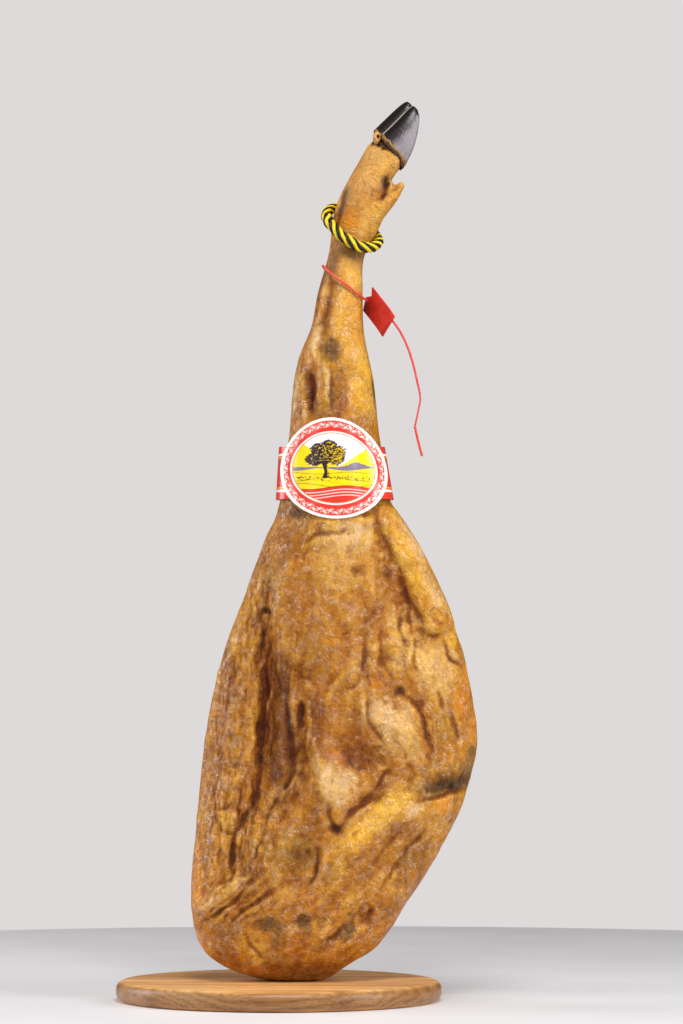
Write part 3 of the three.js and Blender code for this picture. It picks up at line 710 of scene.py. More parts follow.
    Patch((-30, 60), (30, 14), T.BROWN, 0.35, 20, 0, 1.1),
    Patch((24, 578), (7, 26), T.BROWN, 0.45, -4, 0, 0.9),
    Patch((60, 576), (9, 26), T.BROWN, 0.45, 0, 0, 0.9),
    Patch((49, 606), (9, 14), T.UMBER, 0.5, 8, 0, 1.1, 0.1),
    Patch((50, 696), (12, 12), T.UMBER, 0.45, 0, 0, 0.9),
    Patch((74, 628), (20, 24), T.TAN, 0.3, 0, 0, 0.7),
    Patch((60, 188), (24, 26), T.TAN, 0.3, -20, 0, 1.4),
    Patch((134, 330), (26, 40), T.YELLOW, 0.35, 10, 0, 0.9),
    # Painted shade under the rope
    Patch((70, 703), (14, 5), T.UMBER, 0.45, 0, 0, 0.9),
    Patch((104, 772), (5, 8), T.UMBER, 0.6, 0, 0, 1.3, 0.1),
    Patch((62, 752), (4, 12), T.UMBER, 0.4, -24, 0, 1.2, 0.1),
    # Brighter tones of the right side: partly the skin's own paler tone, partly painted light falling from
    # the right
    Patch((120, 330), (16, 30), T.PALE, 0.5, 10, 0, 0.8),
    Patch((150, 250), (12, 30), T.GOLD, 0.45, 0, 0, 0.8),
    Patch((150, 300), (18, 22), T.PALE, 0.4, 0, 0, 0.8),
    # Lumps above the light meat
    Patch((88, 300), (7, 6), T.AMBER, 0.4, 0, 1.8, 0.9, -0.1),
    Patch((101, 296), (6, 8), T.AMBER, 0.4, 20, 1.6, 0.9, -0.1),
    Patch((90, 320), (6, 7), T.GOLD, 0.3, -20, 1.6, 0.9),
    Patch((106, 320), (6, 8), T.TAN, 0.4, 10, 1.8, 0.9),
    Patch((112, 300), (5, 7), T.PALE, 0.3, 0, 1.4, 0.9),
    Patch((-42, 250), (9, 60), T.TAN, 0.2, 8, 2.2, 0.9),
    Patch((3, 248), (5, 44), T.RUST, 0.35, -3, 2.6, 0.8, -0.1),
    Patch((78, 230), (24, 22), T.AMBER, 0.5, 0, 0, 0.8, -0.12),
    Patch((28, 240), (8, 40), T.AMBER, 0.4, 0, 0, 0.9, -0.1),
    Patch((104, 176), (40, 10), T.YELLOW, 0.35, 36, 0, 0.7),
)

# Furrows, cracks, ridges and tendons. Dark furrows are partly painted shade, and pale ridges partly painted
# highlight
LINES = (
    # Foot and shank
    Line(((66, 766), (60, 747), (55, 727)), 2.6, -1.2, T.UMBER, 0.7),
    Line(((62, 768), (56, 750), (51, 730)), 2.2, 0.8, T.PALE, 0.6),
    Line(((106, 779), (104, 768), (101, 758)), 1.6, -1.6, T.DARK, 0.8, 1.0),
    Line(((45, 686), (41, 674), (37, 657), (36, 640)), 2.6, -0.8, T.UMBER, 0.8),
    Line(((48, 707), (47, 679), (41, 654), (36, 635)), 2.2, 0.7, T.PALE, 0.55),
    # The pale tendon's lower end, with a painted highlight along it
    Line(((36, 630), (35, 612), (36, 596)), 2.4, 0.8, T.CREAM, 0.6),
    Line(((52, 689), (48, 654), (44, 629)), 3.2, -1.1, T.BROWN, 0.6),
    Line(((33, 632), (43, 636)), 1.4, -0.4, T.UMBER, 0.6),
    Line(((29, 589), (32, 568), (33, 543)), 3.2, -2.6, T.DARK, 0.95, 1.0),
    Line(((22, 586), (23, 566), (25, 548)), 2.4, 1.2, T.PALE, 0.65),
    Line(((37, 590), (38, 568), (39, 548)), 2.2, 1.0, T.PALE, 0.45),
    Line(((51, 590), (50, 572), (51, 543)), 3.2, -1.8, T.UMBER, 0.75),
    Line(((63, 590), (66, 570), (66, 545)), 4.0, -0.8, T.RUST, 0.5),
    # Under the sleeve
    Line(((27, 424), (39, 431), (52, 433), (70, 435)), 2.4, -1.4, T.UMBER, 0.6),
    Line(((20, 414), (36, 423), (52, 425)), 3.0, 1.0, T.GOLD, 0.4),
    Line(((66, 446), (82, 443), (96, 447)), 3.6, 1.8, T.YELLOW, 0.6),
    Line(((96, 452), (99, 436), (104, 420), (113, 402)), 3.4, -1.2, T.BROWN, 0.6),
    Line(((112, 404), (121, 385), (123, 372), (128, 361), (138, 346), (141, 328)), 3.6, -2.0, T.BROWN, 0.8),
    Line(((123, 368), (125, 350), (130, 335)), 2.6, -1.6, T.BROWN, 0.7),
    Line(((117, 350), (119, 334), (126, 322)), 2.6, -1.4, T.UMBER, 0.6),
    Line(((126, 438), (128, 452)), 2.4, -1.2, T.UMBER, 0.5),
    Line(((104, 440), (124, 420), (136, 392), (152, 362)), 6.0, 1.8, T.YELLOW, 0.4),
    # A painted glint along a small fold
    Line(((164, 327), (167, 319), (173, 312)), 2.6, 2.0, T.CREAM, 0.85),
    Line(((160, 326), (166, 312), (176, 304)), 2.8, -2.2, T.UMBER, 0.75),
    Line(((146, 352), (152, 346), (160, 344)), 2.4, -1.4, T.BROWN, 0.6),
    Line(((142, 336), (150, 332), (158, 334)), 2.4, -1.4, T.BROWN, 0.6),
    Line(((51, 336), (62, 335), (73, 337)), 1.8, -0.7, T.BROWN, 0.4),
    Line(((50, 331), (62, 330), (72, 332)), 1.8, -0.7, T.BROWN, 0.4),
    Line(((86, 336), (85, 310), (85, 282)), 3.4, -1.9, T.BROWN, 0.6),
    Line(((94, 342), (93, 320), (90, 300)), 3.0, 1.3, T.PALE, 0.4),
    Line(((71, 300), (61, 294), (52, 278), (46, 262)), 3.2, 1.4, T.GOLD, 0.4),
    Line(((79, 300), (76, 288), (64, 280)), 3.0, -1.6, T.BROWN, 0.5),
    # Left flank
    Line(((-21, 358), (-15, 336), (-17, 318), (-18, 305)), 2.8, -2.4, T.DARK, 0.8, 1.1, True),
    Line(((-13, 362), (-13, 352)), 3.4, -2.2, T.INK, 0.8),
    Line(((-9, 328), (-11, 302), (-11, 278)), 2.4, -1.4, T.UMBER, 0.7),
    Line(((-11, 304), (-12, 274), (-16, 247), (-17, 222), (-18, 193), (-24, 174)), 3.4, -2.0, T.DARK, 0.7),
    Line(((-20, 182), (-33, 156), (-44, 137), (-45, 115)), 4.4, -2.4, T.UMBER, 0.8),
    Line(((-22, 300), (-25, 262), (-28, 226), (-31, 196)), 4.6, 2.0, T.GOLD, 0.35),
    Line(((-40, 330), (-57, 295), (-65, 262), (-70, 225)), 3.4, 1.6, T.PALE, 0.45),
    Line(((-34, 318), (-44, 286), (-50, 250)), 3.2, -1.4, T.BROWN, 0.55),
    Line(((-50, 245), (-56, 216), (-62, 176)), 3.2, -1.3, T.BROWN, 0.5),
    Line(((-60, 168), (-60, 156), (-54, 144), (-44, 142)), 2.2, -1.8, T.UMBER, 0.8),
    Line(((-40, 172), (-50, 168), (-58, 166)), 2.0, -1.2, T.BROWN, 0.5),
    Line(((4, 300), (6, 277), (10, 254), (13, 234), (14, 209), (13, 197)), 4.2, -2.8, T.DARK, 0.8, 1.0),
    Line(((13, 198), (4, 184), (-3, 170), (-9, 157), (-14, 138)), 3.6, -2.6, T.DARK, 0.8, 1.0, True),
    Line(((-15, 140), (-24, 118), (-34, 100)), 4.0, -1.6, T.UMBER, 0.6),
    Line(((23, 270), (22, 256), (21, 244)), 3.2, -4.0, T.INK, 0.98, 1.0),
    Line(((30, 272), (29, 246), (26, 222)), 2.4, 1.5, T.GOLD, 0.5),
    Line(((11, 302), (9, 285), (10, 268)), 2.0, -1.0, T.UMBER, 0.7),
    Line(((17, 196), (10, 189), (4, 183), (-1, 176)), 2.4, 1.6, T.PALE, 0.7),
    Line(((24, 236), (25, 214), (22, 196)), 3.4, -1.2, T.BROWN, 0.6),
    # Middle
    Line(((34, 232), (38, 210), (41, 190), (45, 168)), 2.6, 1.2, T.CREAM, 0.45),
    Line(((46, 172), (50, 158), (55, 150)), 2.8, -1.8, T.MOULD, 0.7),
    Line(((62, 154), (68, 162), (80, 172), (94, 188)), 2.6, -1.2, T.BROWN, 0.5),
    Line(((94, 188), (101, 200), (108, 206)), 3.0, -1.6, T.UMBER, 0.6),
    Line(((66, 152), (78, 162), (92, 176)), 2.4, 1.2, T.GOLD, 0.5),
    Line(((84, 268), (88, 250), (97, 236), (104, 226)), 2.6, -1.6, T.BROWN, 0.6),
    Line(((80, 278), (81, 264), (86, 252)), 2.6, 1.4, T.CREAM, 0.5),
    Line(((84, 330), (82, 302), (79, 284)), 2.8, -1.4, T.UMBER, 0.6),
    Line(((118, 282), (127, 272), (136, 261), (141, 250), (144, 236), (149, 222)), 3.0, -1.8, T.BROWN, 0.75),
    # A painted glint: a thin white line along a crack
    Line(((128, 331), (126, 316), (124, 301)), 1.6, 0.8, T.CREAM, 0.85),
    Line(((132, 330), (131, 312), (133, 296)), 2.2, -1.2, T.BROWN, 0.5),
    Line(((150, 282), (158, 268), (160, 252)), 2.4, -1.2, T.BROWN, 0.5),
    Line(((166, 262), (172, 246), (176, 232)), 2.4, -1.5, T.UMBER, 0.6),
    Line(((104, 240), (114, 228), (122, 216)), 2.6, -1.0, T.BROWN, 0.5),
    # Lower right: the broad near-black line along the crease is partly the skin's own colour and partly
    # painted shade
    Line(((132, 186), (150, 187), (168, 191), (188, 200)), 6.0, 2.2, T.INK, 0.5, 1.1),
    Line(((138, 174), (156, 178), (182, 186)), 3.0, -1.2, T.UMBER, 0.6),
    Line(((138, 172), (158, 174), (176, 180)), 2.8, 1.4, T.ORANGE, 0.5),
    Line(((120, 192), (98, 172), (76, 156), (58, 142)), 5.0, 1.6, T.YELLOW, 0.5),
    Line(((146, 148), (126, 128), (110, 104)), 3.0, -1.3, T.UMBER, 0.5),
    Line(((126, 146), (104, 130), (90, 112)), 3.0, -1.0, T.BROWN, 0.45),
    # Butt
    Line(((38, 130), (36, 104), (27, 92)), 2.4, -1.8, T.UMBER, 0.8),
    Line(((46, 132), (44, 112), (38, 98)), 2.4, 1.2, T.GOLD, 0.45),
    Line(((-78, 68), (-55, 80), (-46, 93), (-36, 112)), 2.6, 1.8, T.PALE, 0.6),
    Line(((-74, 58), (-52, 70), (-38, 84), (-24, 104)), 2.8, -1.8, T.UMBER, 0.65),
    Line(((-60, 58), (-44, 76), (-30, 88), (-12, 103)), 2.4, 1.6, T.PALE, 0.55),
    Line(((-46, 56), (-30, 72), (-10, 88), (6, 98)), 2.8, -1.6, T.BROWN, 0.6),
    Line(((-34, 52), (-27, 36), (-14, 22)), 3.0, -1.2, T.BROWN, 0.6),
    Line(((-44, 40), (-34, 22), (-18, 12)), 3.0, 1.0, T.AMBER, 0.5),
    Line(((78, 70), (84, 76), (91, 70), (90, 60), (82, 56)), 2.4, -1.2, T.UMBER, 0.6),
    Line(((92, 80), (104, 96), (112, 112)), 2.4, -1.2, T.BROWN, 0.55),
    Line(((40, 40), (54, 46), (64, 56)), 2.4, -1.0, T.UMBER, 0.5),
)


class Nodes:
    """A new material while its nodes are laid out."""

    def __init__(self, name: str) -> None:
        """Starts the material with its plain shader."""
        self.material = bpy.data.materials.new(name)
        self.material.use_nodes = True
        self.tree = self.material.node_tree
        self.shader = self.tree.nodes["Principled BSDF"]

    def place(self) -> Socket:
        """The object coordinates, in metres."""
        return add_node(self.tree, "ShaderNodeTexCoord").outputs["Object"]

    def painted(self, name: str, kind: str = "Fac") -> Socket:
        """What the vertices hold under a name: a number, or with the kind "Color" a colour."""
        return add_node(self.tree, "ShaderNodeAttribute", {"attribute_name": name}).outputs[kind]

    def noise(
        self,
        place: Socket,
        size: float,
        detail: float,
        rough: float = 0.5,
        swirl: float = 0.0,
        kind: str = "Fac",
    ) -> Socket:
        """A noise.

        Args:
            place: where it is taken.
            size: how coarse its grain is, in the units of the place.
            detail: how many finer layers it has.
            rough: how strong each layer is beside the one before.
            swirl: how much it is distorted.
            kind: "Fac" for one value, or "Color" for three.

        Returns:
            Its value, about 0.5 on average.
        """
        inputs = {"Vector": place, "Scale": 1 / size, "Detail": detail}
        inputs |= {"Roughness": rough, "Distortion": swirl}
        return add_node(self.tree, "ShaderNodeTexNoise", None, inputs).outputs[kind]

    def mapped(self, place: Socket, inputs: dict, kind: str = "POINT") -> Socket:
        """A place moved, turned or scaled by the mapping node's inputs."""
        inputs = {"Vector": place, **inputs}
        return add_node(self.tree, "ShaderNodeMapping", {"vector_type": kind}, inputs).outputs["Vector"]

    def ramp(self, value: Socket, *stops: tuple) -> Socket:
        """The colour that a value has between stops of (value, hex colour or linear red, green and blue)."""
        whole = [(at, linear(colour) if isinstance(colour, str) else (*colour, 1)) for at, colour in stops]
        return add_node(self.tree, "ShaderNodeValToRGB", {"stops": whole}, {"Fac": value}).outputs["Color"]

    def mixed(self, amount: object, first: object, second: object, blend: str = "MIX") -> Socket:
        """Two colours blended, with that amount of the second."""
        settings = {"data_type": "RGBA", "blend_type": blend}
        return add_node(self.tree, "ShaderNodeMix", settings, {0: amount, 6: first, 7: second}).outputs[2]

    def maths(self, operation: str, *values: object, clamp: bool = False) -> Socket:
        """The result of a mathematical operation on values."""
        settings = {"operation": operation, "use_clamp": clamp}
        return add_node(self.tree, "ShaderNodeMath", settings, dict(enumerate(values))).outputs["Value"]

    def carried(self, value: Socket, start: Place, end: Place = (0.0, 1.0), kind: str = "LINEAR") -> Socket:
        """A value between two bounds, carried over to lie between two others."""
        inputs = {"Value": value, "From Min": start[0], "From Max": start[1]}
        inputs |= {"To Min": end[0], "To Max": end[1]}
        settings = {"interpolation_type": kind}
        return add_node(self.tree, "ShaderNodeMapRange", settings, inputs).outputs["Result"]

    def bump(self, height: Socket, strength: float, depth: float, under: Socket | None = None) -> Socket:
        """Normals that follow a height of depth millimetres, over the bumps under it."""
        inputs = {"Strength": strength, "Distance": depth * MM, "Height": height}
        if under:
            inputs["Normal"] = under
        return add_node(self.tree, "ShaderNodeBump", None, inputs).outputs["Normal"]

    def finish(self, inputs: dict) -> bpy.types.Material:
        """Gives the shader its inputs and hands over the material."""
        feed(self.tree, self.shader, inputs)
        return self.material


@dataclass(frozen=True)
class CuredSkin:
    """Air-dried meat, fat and rind, greasy from within: waxy, with a low sheen and small sharp glints."""

    name: str = "air_dried_ham_greasy"
    # How coarse each kind of mark is
    blotch: float = 16 * MM
    fleck: float = 4 * MM
    speck: float = 1.5 * MM
    crinkle: float = 5 * MM
    wet: float = 7 * MM
    fibre: float = 1.5 * MM
    fibre_length: float = 14 * MM
    # The three ways that the fibres run, anticlockwise from across, in degrees
    courses: tuple[float, ...] = (86.0, 40.0, 122.0)

    def fibres(self, nodes: Nodes, place: Socket) -> Socket:
        """Fine fibres, from 0 to 1, that follow the painted grain of each place."""
        flow = nodes.painted("flow", "Color")
        shares = add_node(nodes.tree, "ShaderNodeSeparateColor", None, {"Color": flow}).outputs
        size = (self.fibre_length, 2 * self.fibre, self.fibre)
        total = 0.0
        for course, share in zip(self.courses, shares):
            turn = (0, -math.radians(course), 0)
            turned = nodes.mapped(place, {"Rotation": turn, "Scale": size}, "TEXTURE")
            total = nodes.maths("MULTIPLY_ADD", nodes.noise(turned, 1.0, 4.0, 0.6, 0.35), share, total)
        return total

    def material(self) -> bpy.types.Material:
        """Builds the material, which reads a place's tone, grain, dryness, fibres and gloss."""
        nodes = Nodes(self.name)
        place = nodes.place()
        fibrous = nodes.painted("fibrous")
        fibre = self.fibres(nodes, place)
        blotch = nodes.noise(place, self.blotch, 5.0, 0.6, 0.5)
        fleck = nodes.noise(place, self.fleck, 4.0, 0.6, 0.5)
        speck = nodes.noise(place, self.speck, 3.0, 0.6)
        crinkle = nodes.noise(place, self.crinkle, 4.0, 0.6, 0.8)
        flecked = nodes.maths("MULTIPLY_ADD", fibrous, 0.4, 0.12)
        streaked = nodes.maths("MULTIPLY", fibrous, 0.55)
        plain = (1, 1, 1)
        colour = nodes.painted("paint", "Color")
        for mark, amount, *stops in (
            (blotch, 0.8, (0.3, (0.7, 0.61, 0.48)), (0.5, plain), (0.72, (1.2, 1.2, 1.16))),
            (fleck, flecked, (0.34, (0.66, 0.56, 0.42)), (0.48, plain), (0.64, (1.25, 1.25, 1.25))),
            (speck, 0.16, (0.34, (0.6, 0.5, 0.4)), (0.48, plain), (0.68, (1.25, 1.25, 1.25))),
            (fibre, streaked, (0.32, (0.62, 0.52, 0.4)), (0.5, plain), (0.68, (1.3, 1.3, 1.3))),
        ):
            colour = nodes.mixed(amount, colour, nodes.ramp(mark, *stops), "MULTIPLY")
        uneven = nodes.carried(crinkle, (0.3, 0.7), (-0.12, 0.14))
        bump = nodes.bump(crinkle, 0.9, 3.6)
        bump = nodes.bump(nodes.maths("MULTIPLY", fibre, fibrous), 0.7, 1.1, bump)
        bump = nodes.bump(speck, 0.3, 0.35, bump)
        grease = nodes.noise(place, self.wet, 3.0, 0.6, 0.6)
        grease = nodes.carried(grease, (0.46, 0.62), (0.1, 1.2), "SMOOTHSTEP")
        return nodes.finish(
            {
                "Base Color": colour,
                "Roughness": nodes.maths("ADD", nodes.painted("dry"), uneven, clamp=True),
                "Normal": bump,
                "IOR": 1.45,
                "Specular IOR Level": 0.22,
                "Coat Weight": nodes.maths("MULTIPLY", nodes.painted("gloss"), grease, clamp=True),
                "Coat Normal": nodes.bump(fibre, 0.35, 1.2, bump),
                "Coat Roughness": 0.13,
                "Coat IOR": 1.75,
                "Subsurface Weight": 0.12,
                "Subsurface Radius": (1.0, 0.4, 0.12),
                "Subsurface Scale": 4 * MM,
            }
        )


@dataclass(frozen=True)
class TornSkin:
    """Dried, torn skin: dull brown and dark, rough to the touch, with pale dry flakes."""

    name: str = "dried_torn_skin"
    grit: float = 1.1 * MM
    roughness: float = 0.62

    def material(self) -> bpy.types.Material:
        """Builds the material, which reads the painted tones."""
        nodes = Nodes(self.name)
        grit = nodes.noise(nodes.place(), self.grit, 4.0, 0.7)
        shade = nodes.ramp(grit, (0.35, (0.5, 0.45, 0.4)), (0.65, (1.3, 1.25, 1.2)))
        colour = nodes.mixed(1.0, nodes.painted("paint", "Color"), shade, "MULTIPLY")
        bump = nodes.bump(grit, 0.8, 0.6)
        return nodes.finish({"Base Color": colour, "Normal": bump, "Roughness": self.roughness})


@dataclass(frozen=True)
class Horn:
    """Polished keratin horn of the claws: nearly black and glossy, with a grey bloom that is partly a
    painted sheen, fine long lines, and a painted highlight along one edge.
    """

    name: str = "claw_horn_polished"
    dark: str = "#140D09"
    grey: str = "#8D858A"
    pale: str = "#C9BFB6"
    roughness: float = 0.36
    ior: float = 1.5
    line: float = 0.8 * MM
    line_length: float = 15 * MM
    bloom: float = 12 * MM
    # Which way the lines run, in degrees
    slant: float = -60.0

    def material(self) -> bpy.types.Material:
        """Builds the material, which reads a painted share of grey: 0 at the black side, 1 at the grey,
        which is partly the horn's own bloom and partly a painted sheen.
        """
        nodes = Nodes(self.name)
        place = nodes.place()
        size = (self.line_length, self.line, self.line)
        turn = (0, math.radians(self.slant), 0)
        turned = nodes.mapped(place, {"Rotation": turn, "Scale": size}, "TEXTURE")
        lines = nodes.noise(turned, 1.0, 3.0, 0.6)
        bloom = nodes.noise(place, self.bloom, 3.0, 0.6)
        amount = nodes.maths("MULTIPLY_ADD", bloom, 0.5, nodes.painted("worn"))
        amount = nodes.maths("MULTIPLY_ADD", lines, 1.3, amount)
        share = nodes.carried(amount, (1.05, 2.1), kind="SMOOTHSTEP")
        horn = nodes.mixed(share, self.dark, self.grey)
        return nodes.finish(
            {
                # The pale line along the front claw's left edge is a painted highlight
                "Base Color": nodes.mixed(nodes.painted("rim"), horn, self.pale),
                "Normal": nodes.bump(lines, 0.15, 0.1),
                "Roughness": nodes.maths("MULTIPLY_ADD", share, 0.22, self.roughness),
                "IOR": self.ior,
            }
        )


@dataclass(frozen=True)
class Wood:
    """Oiled hardwood, sawn across its rings and sanded: warm brown, with long dark grain and short pores."""

    name: str = "oiled_acacia"
    light: str = "#FFCB8A"
    middle: str = "#EDB06A"
    dark: str = "#A56C38"
    roughness: float = 0.38
    ior: float = 1.5
    ring: float = 9 * MM
    pore: float = 0.8 * MM
    pore_length: float = 12 * MM

    def material(self) -> bpy.types.Material:
        """Builds the material, whose grain runs along X and which is darker where it is a side: partly its
        end grain, partly painted shade.
        """
        nodes = Nodes(self.name)
        place = nodes.place()
        long = nodes.mapped(place, {"Location": (0, 0.04, 0.12), "Scale": (0.09, 1, 1)})
        swayed = nodes.mixed(0.05, long, nodes.noise(long, 1 / 14, 3.0, kind="Color"), "LINEAR_LIGHT")
        wave = {"Vector": swayed, "Scale": 1 / (3.1 * self.ring), "Distortion": 1.5, "Detail": 3.0}
        settings = {"wave_type": "RINGS", "rings_direction": "X"}
        rings = add_node(nodes.tree, "ShaderNodeTexWave", settings, wave).outputs["Fac"]
        grain = nodes.ramp(rings, (0.0, self.dark), (0.45, self.middle), (1.0, self.light))
        broad = nodes.noise(long, 1 / 30, 5.0, 0.6)
        body = nodes.ramp(broad, (0.3, self.dark), (0.5, self.middle), (0.7, self.light))
        narrow = nodes.mapped(place, {"Scale": (self.pore / self.pore_length, 1, 1)})
        pores = nodes.noise(narrow, 2 * self.pore, 3.0, 0.7)
        shade = nodes.ramp(pores, (0.34, (0.45, 0.38, 0.32)), (0.52, (1, 1, 1)), (0.75, (1.15, 1.12, 1.08)))
        colour = nodes.mixed(0.8, nodes.mixed(0.62, grain, body), shade, "MULTIPLY")
        return nodes.finish(
            {
                "Base Color": nodes.mixed(nodes.painted("side"), colour, (0.4, 0.35, 0.29, 1), "MULTIPLY"),
                "Normal": nodes.bump(pores, 0.35, 0.3),
                "Roughness": self.roughness,
                "IOR": self.ior,
            }
        )


@dataclass(frozen=True)
class CoatedPaper:
    """Coated label paper with a printed face: bright flat inks under a slight sheen, with faint creases."""

    name: str = "label_paper_coated"
    roughness: float = 0.24
    ior: float = 1.5
    worn: float = 2.5 * MM
    crease: float = 22 * MM

    def material(self) -> bpy.types.Material:
        """Builds the material, which reads the printed colours."""
        nodes = Nodes(self.name)
        place = nodes.place()
        worn = nodes.noise(place, self.worn, 4.0, 0.7)
        shade = nodes.ramp(worn, (0.3, (0.94, 0.93, 0.92)), (0.6, (1, 1, 1)))
        crease = nodes.noise(place, self.crease, 2.0, swirl=0.8)
        return nodes.finish(
            {
                "Base Color": nodes.mixed(1.0, nodes.painted("print", "Color"), shade, "MULTIPLY"),
                "Normal": nodes.bump(crease, 0.4, 1.2),
                "Roughness": self.roughness,
                "IOR": self.ior,
            }
        )


@dataclass(frozen=True)
class Yarn:
    """Twisted polypropylene yarn: bright, slightly shiny fibres that lie slanted round each strand."""

    name: str
    colour: str
    deep: str
    roughness: float = 0.45
    fibre_mm: float = 0.5
    # How far the fibres are slanted, in degrees
    slant: float = 24.0

    def material(self) -> bpy.types.Material:
        """Builds the material, whose fibres follow the cord's UV map: millimetres along it and round it."""
        nodes = Nodes(self.name)
        along = add_node(nodes.tree, "ShaderNodeUVMap", {"uv_map": "along"}).outputs["UV"]
        slanted = nodes.mapped(along, {"Rotation": (0, 0, math.radians(self.slant)), "Scale": (0.12, 1, 1)})
        fibres = nodes.noise(slanted, self.fibre_mm, 2.0, 0.6)
        return nodes.finish(
            {
                "Base Color": nodes.ramp(fibres, (0.3, self.deep), (0.62, self.colour)),
                "Normal": nodes.bump(fibres, 0.6, 0.25),
                "Roughness": self.roughness,
                "Specular IOR Level": 0.3,
            }
        )


@dataclass(frozen=True)
class MouldedPlastic:
    """Injection-moulded polypropylene of the seal: clear red with a soft gloss and faint flow marks."""

    name: str
    colour: str
    deep: str
    roughness: float = 0.32
    ior: float = 1.49
    mark: float = 9 * MM
    grain: float = 1 * MM

    def material(self) -> bpy.types.Material:
        """Builds the material."""
        nodes = Nodes(self.name)
        place = nodes.place()
        marks = nodes.noise(place, self.mark, 3.0, swirl=1.0)
        return nodes.finish(
            {
                "Base Color": nodes.ramp(marks, (0.3, self.deep), (0.7, self.colour)),
                "Normal": nodes.bump(nodes.noise(place, self.grain, 2.0), 0.2, 0.15),
                "Roughness": self.roughness,
                "IOR": self.ior,
            }
        )


@dataclass(frozen=True)
class Tabletop:
    """White lacquered table top of the studio: nearly white, with a faint dull sheen."""

    name: str = "white_lacquer_table"
    colour: str = "#F5F3F4"
    shade: str = "#EEECEE"
    roughness: float = 0.42

    def material(self) -> bpy.types.Material:
        """Builds the material."""
        nodes = Nodes(self.name)
        cloud = nodes.noise(nodes.place(), 1 / 6, 4.0)
        colour = nodes.ramp(cloud, (0.35, self.shade), (0.65, self.colour))
        return nodes.finish({"Base Color": colour, "Roughness": self.roughness})


@dataclass
class PhotoCamera:
    """The camera: far off with a long lens, a little above the board, looking slightly up."""

    distance: float = 4.5
    height: float = 0.357
    aim: tuple[float, float, float] = (0.0606, 0.0, 0.472)
    pixel: float = 0.97 * MM
    rows: int = 1024

    def build(self) -> Object:
        """Adds the camera and makes it the scene's own."""
        start = Vector((self.aim[0], -self.distance, self.height))
        look = Vector(self.aim) - start
        data = bpy.data.cameras.new("photo_camera")
        data.sensor_width = 36.0
        data.lens = data.sensor_width * look.length / (self.rows * self.pixel)
        data.clip_end = 60.0
        camera = bpy.data.objects.new("photo_camera", data)
        camera.location = start
        camera.rotation_euler = look.to_track_quat("-Z", "Y").to_euler()
        bpy.context.collection.objects.link(camera)
        bpy.context.scene.camera = camera
        return camera


class Ends(Enum):
    """How a cord's ends are shaped."""

    FLAT = "flat"
    ROUND = "round"


@dataclass
class Tube:
    """A closed tube along a smooth line, whose section may change round it and along it.

    Args:
        line: the points of its middle, in metres.
        radius: its radius, in metres.
        sides: the points round it.
        twist: the length over which its section turns once round, in metres, or 0.
        ends: the shape of its ends.
        lobes: its section's reach round it, as shares of the radius.
        narrow: how wide its last third is, as a share of the rest.
    """

    line: Array
    radius: float
    sides: int = 16
    twist: float = 0.0
    ends: Ends = Ends.FLAT
    lobes: Array = field(default_factory=lambda: np.ones(1))
    narrow: float = 1.0

    def build(self, name: str) -> Object:
        """Builds the tube.

        Args:
            name: the piece's name.

        Returns:
            The piece, with a UV map "along" that holds millimetres along it and round it.
        """
        count = len(self.line)
        tangents = np.gradient(self.line, axis=0)
        tangents /= np.linalg.norm(tangents, axis=1, keepdims=True)
        side = np.cross(tangents[0], [0.0, 0.0, 1.0])
        if np.linalg.norm(side) < 0.1:
            side = np.cross(tangents[0], [0.0, 1.0, 0.0])
        along = np.concatenate([[0], np.cumsum(steps_of(self.line))])
        angles = 2 * np.pi * np.arange(self.sides) / self.sides
        lobes = np.arange(len(self.lobes)) / len(self.lobes)
        shape = np.interp(np.arange(self.sides) / self.sides, lobes, self.lobes)
        points = []
        for index in range(count):
            side = side - tangents[index] * (side @ tangents[index])
            side /= np.linalg.norm(side)
            over = np.cross(tangents[index], side)
            turn = 2 * np.pi * along[index] / self.twist if self.twist else 0.0
            swell = self.end_scale(along[index], along[-1])
            swell *= 1 - (1 - self.narrow) * smoothstep(0.6, 0.75, along[index] / along[-1])
            reach = self.radius * shape * swell
            ring = np.outer(np.cos(angles + turn) * reach, side)
            ring += np.outer(np.sin(angles + turn) * reach, over)
            points.append(self.line[index] + ring)
        return self.mesh(name, np.array(points), along)

    def end_scale(self, along: float, length: float) -> float:
        """How much narrower the tube is near a round end."""
        if self.ends is Ends.FLAT:
            return 1.0
        near = min(along, length - along) / self.radius
        return math.sqrt(max(0.02, 1 - max(0.0, 1 - near) ** 2))

    def mesh(self, name: str, rings: Array, along: Array) -> Object:
        """Joins rings of points into a closed mesh piece."""
        count = len(rings)
        faces = []
        for ring in range(count - 1):
            for index in range(self.sides):
                after = (index + 1) % self.sides
                a = ring * self.sides
                faces.append((a + index, a + after, a + self.sides + after, a + self.sides + index))
        faces.append(tuple(reversed(range(self.sides))))
        faces.append(tuple((count - 1) * self.sides + index for index in range(self.sides)))
        piece = new_piece(name, rings, faces)
        data = piece.data
        around = 2 * math.pi * self.radius / MM
        uv = data.uv_layers.new(name="along").data
        for face in data.polygons:
            corners = [data.loops[i].vertex_index for i in face.loop_indices]
            last = {index % self.sides for index in corners} == {0, self.sides - 1}
            for loop, vertex in zip(face.loop_indices, corners):
                place = vertex % self.sides
                share = 1.0 if last and place == 0 else place / self.sides
                uv[loop].uv = (along[vertex // self.sides] / MM, around * share)
        bpy.ops.object.shade_smooth()
        return piece


def ring_middles(node: Object, order: Array, per_ring: int) -> Array:
    """The middles of a round solid's rings, in the order in which they lie along it.

    Args:
        node: the solid.
        order: for each of its different points, how far along it lies.
        per_ring: how many points each ring has.

    Returns:
        One row for each ring.
    """
    points = different_points(node)[np.argsort(order, kind="stable")]
    return points.reshape(-1, per_ring, 3).mean(axis=1)


def different_points(node: Object) -> Array:
    """A solid's points, each once."""
    return np.unique(np.round(points_of(node), 6), axis=0)


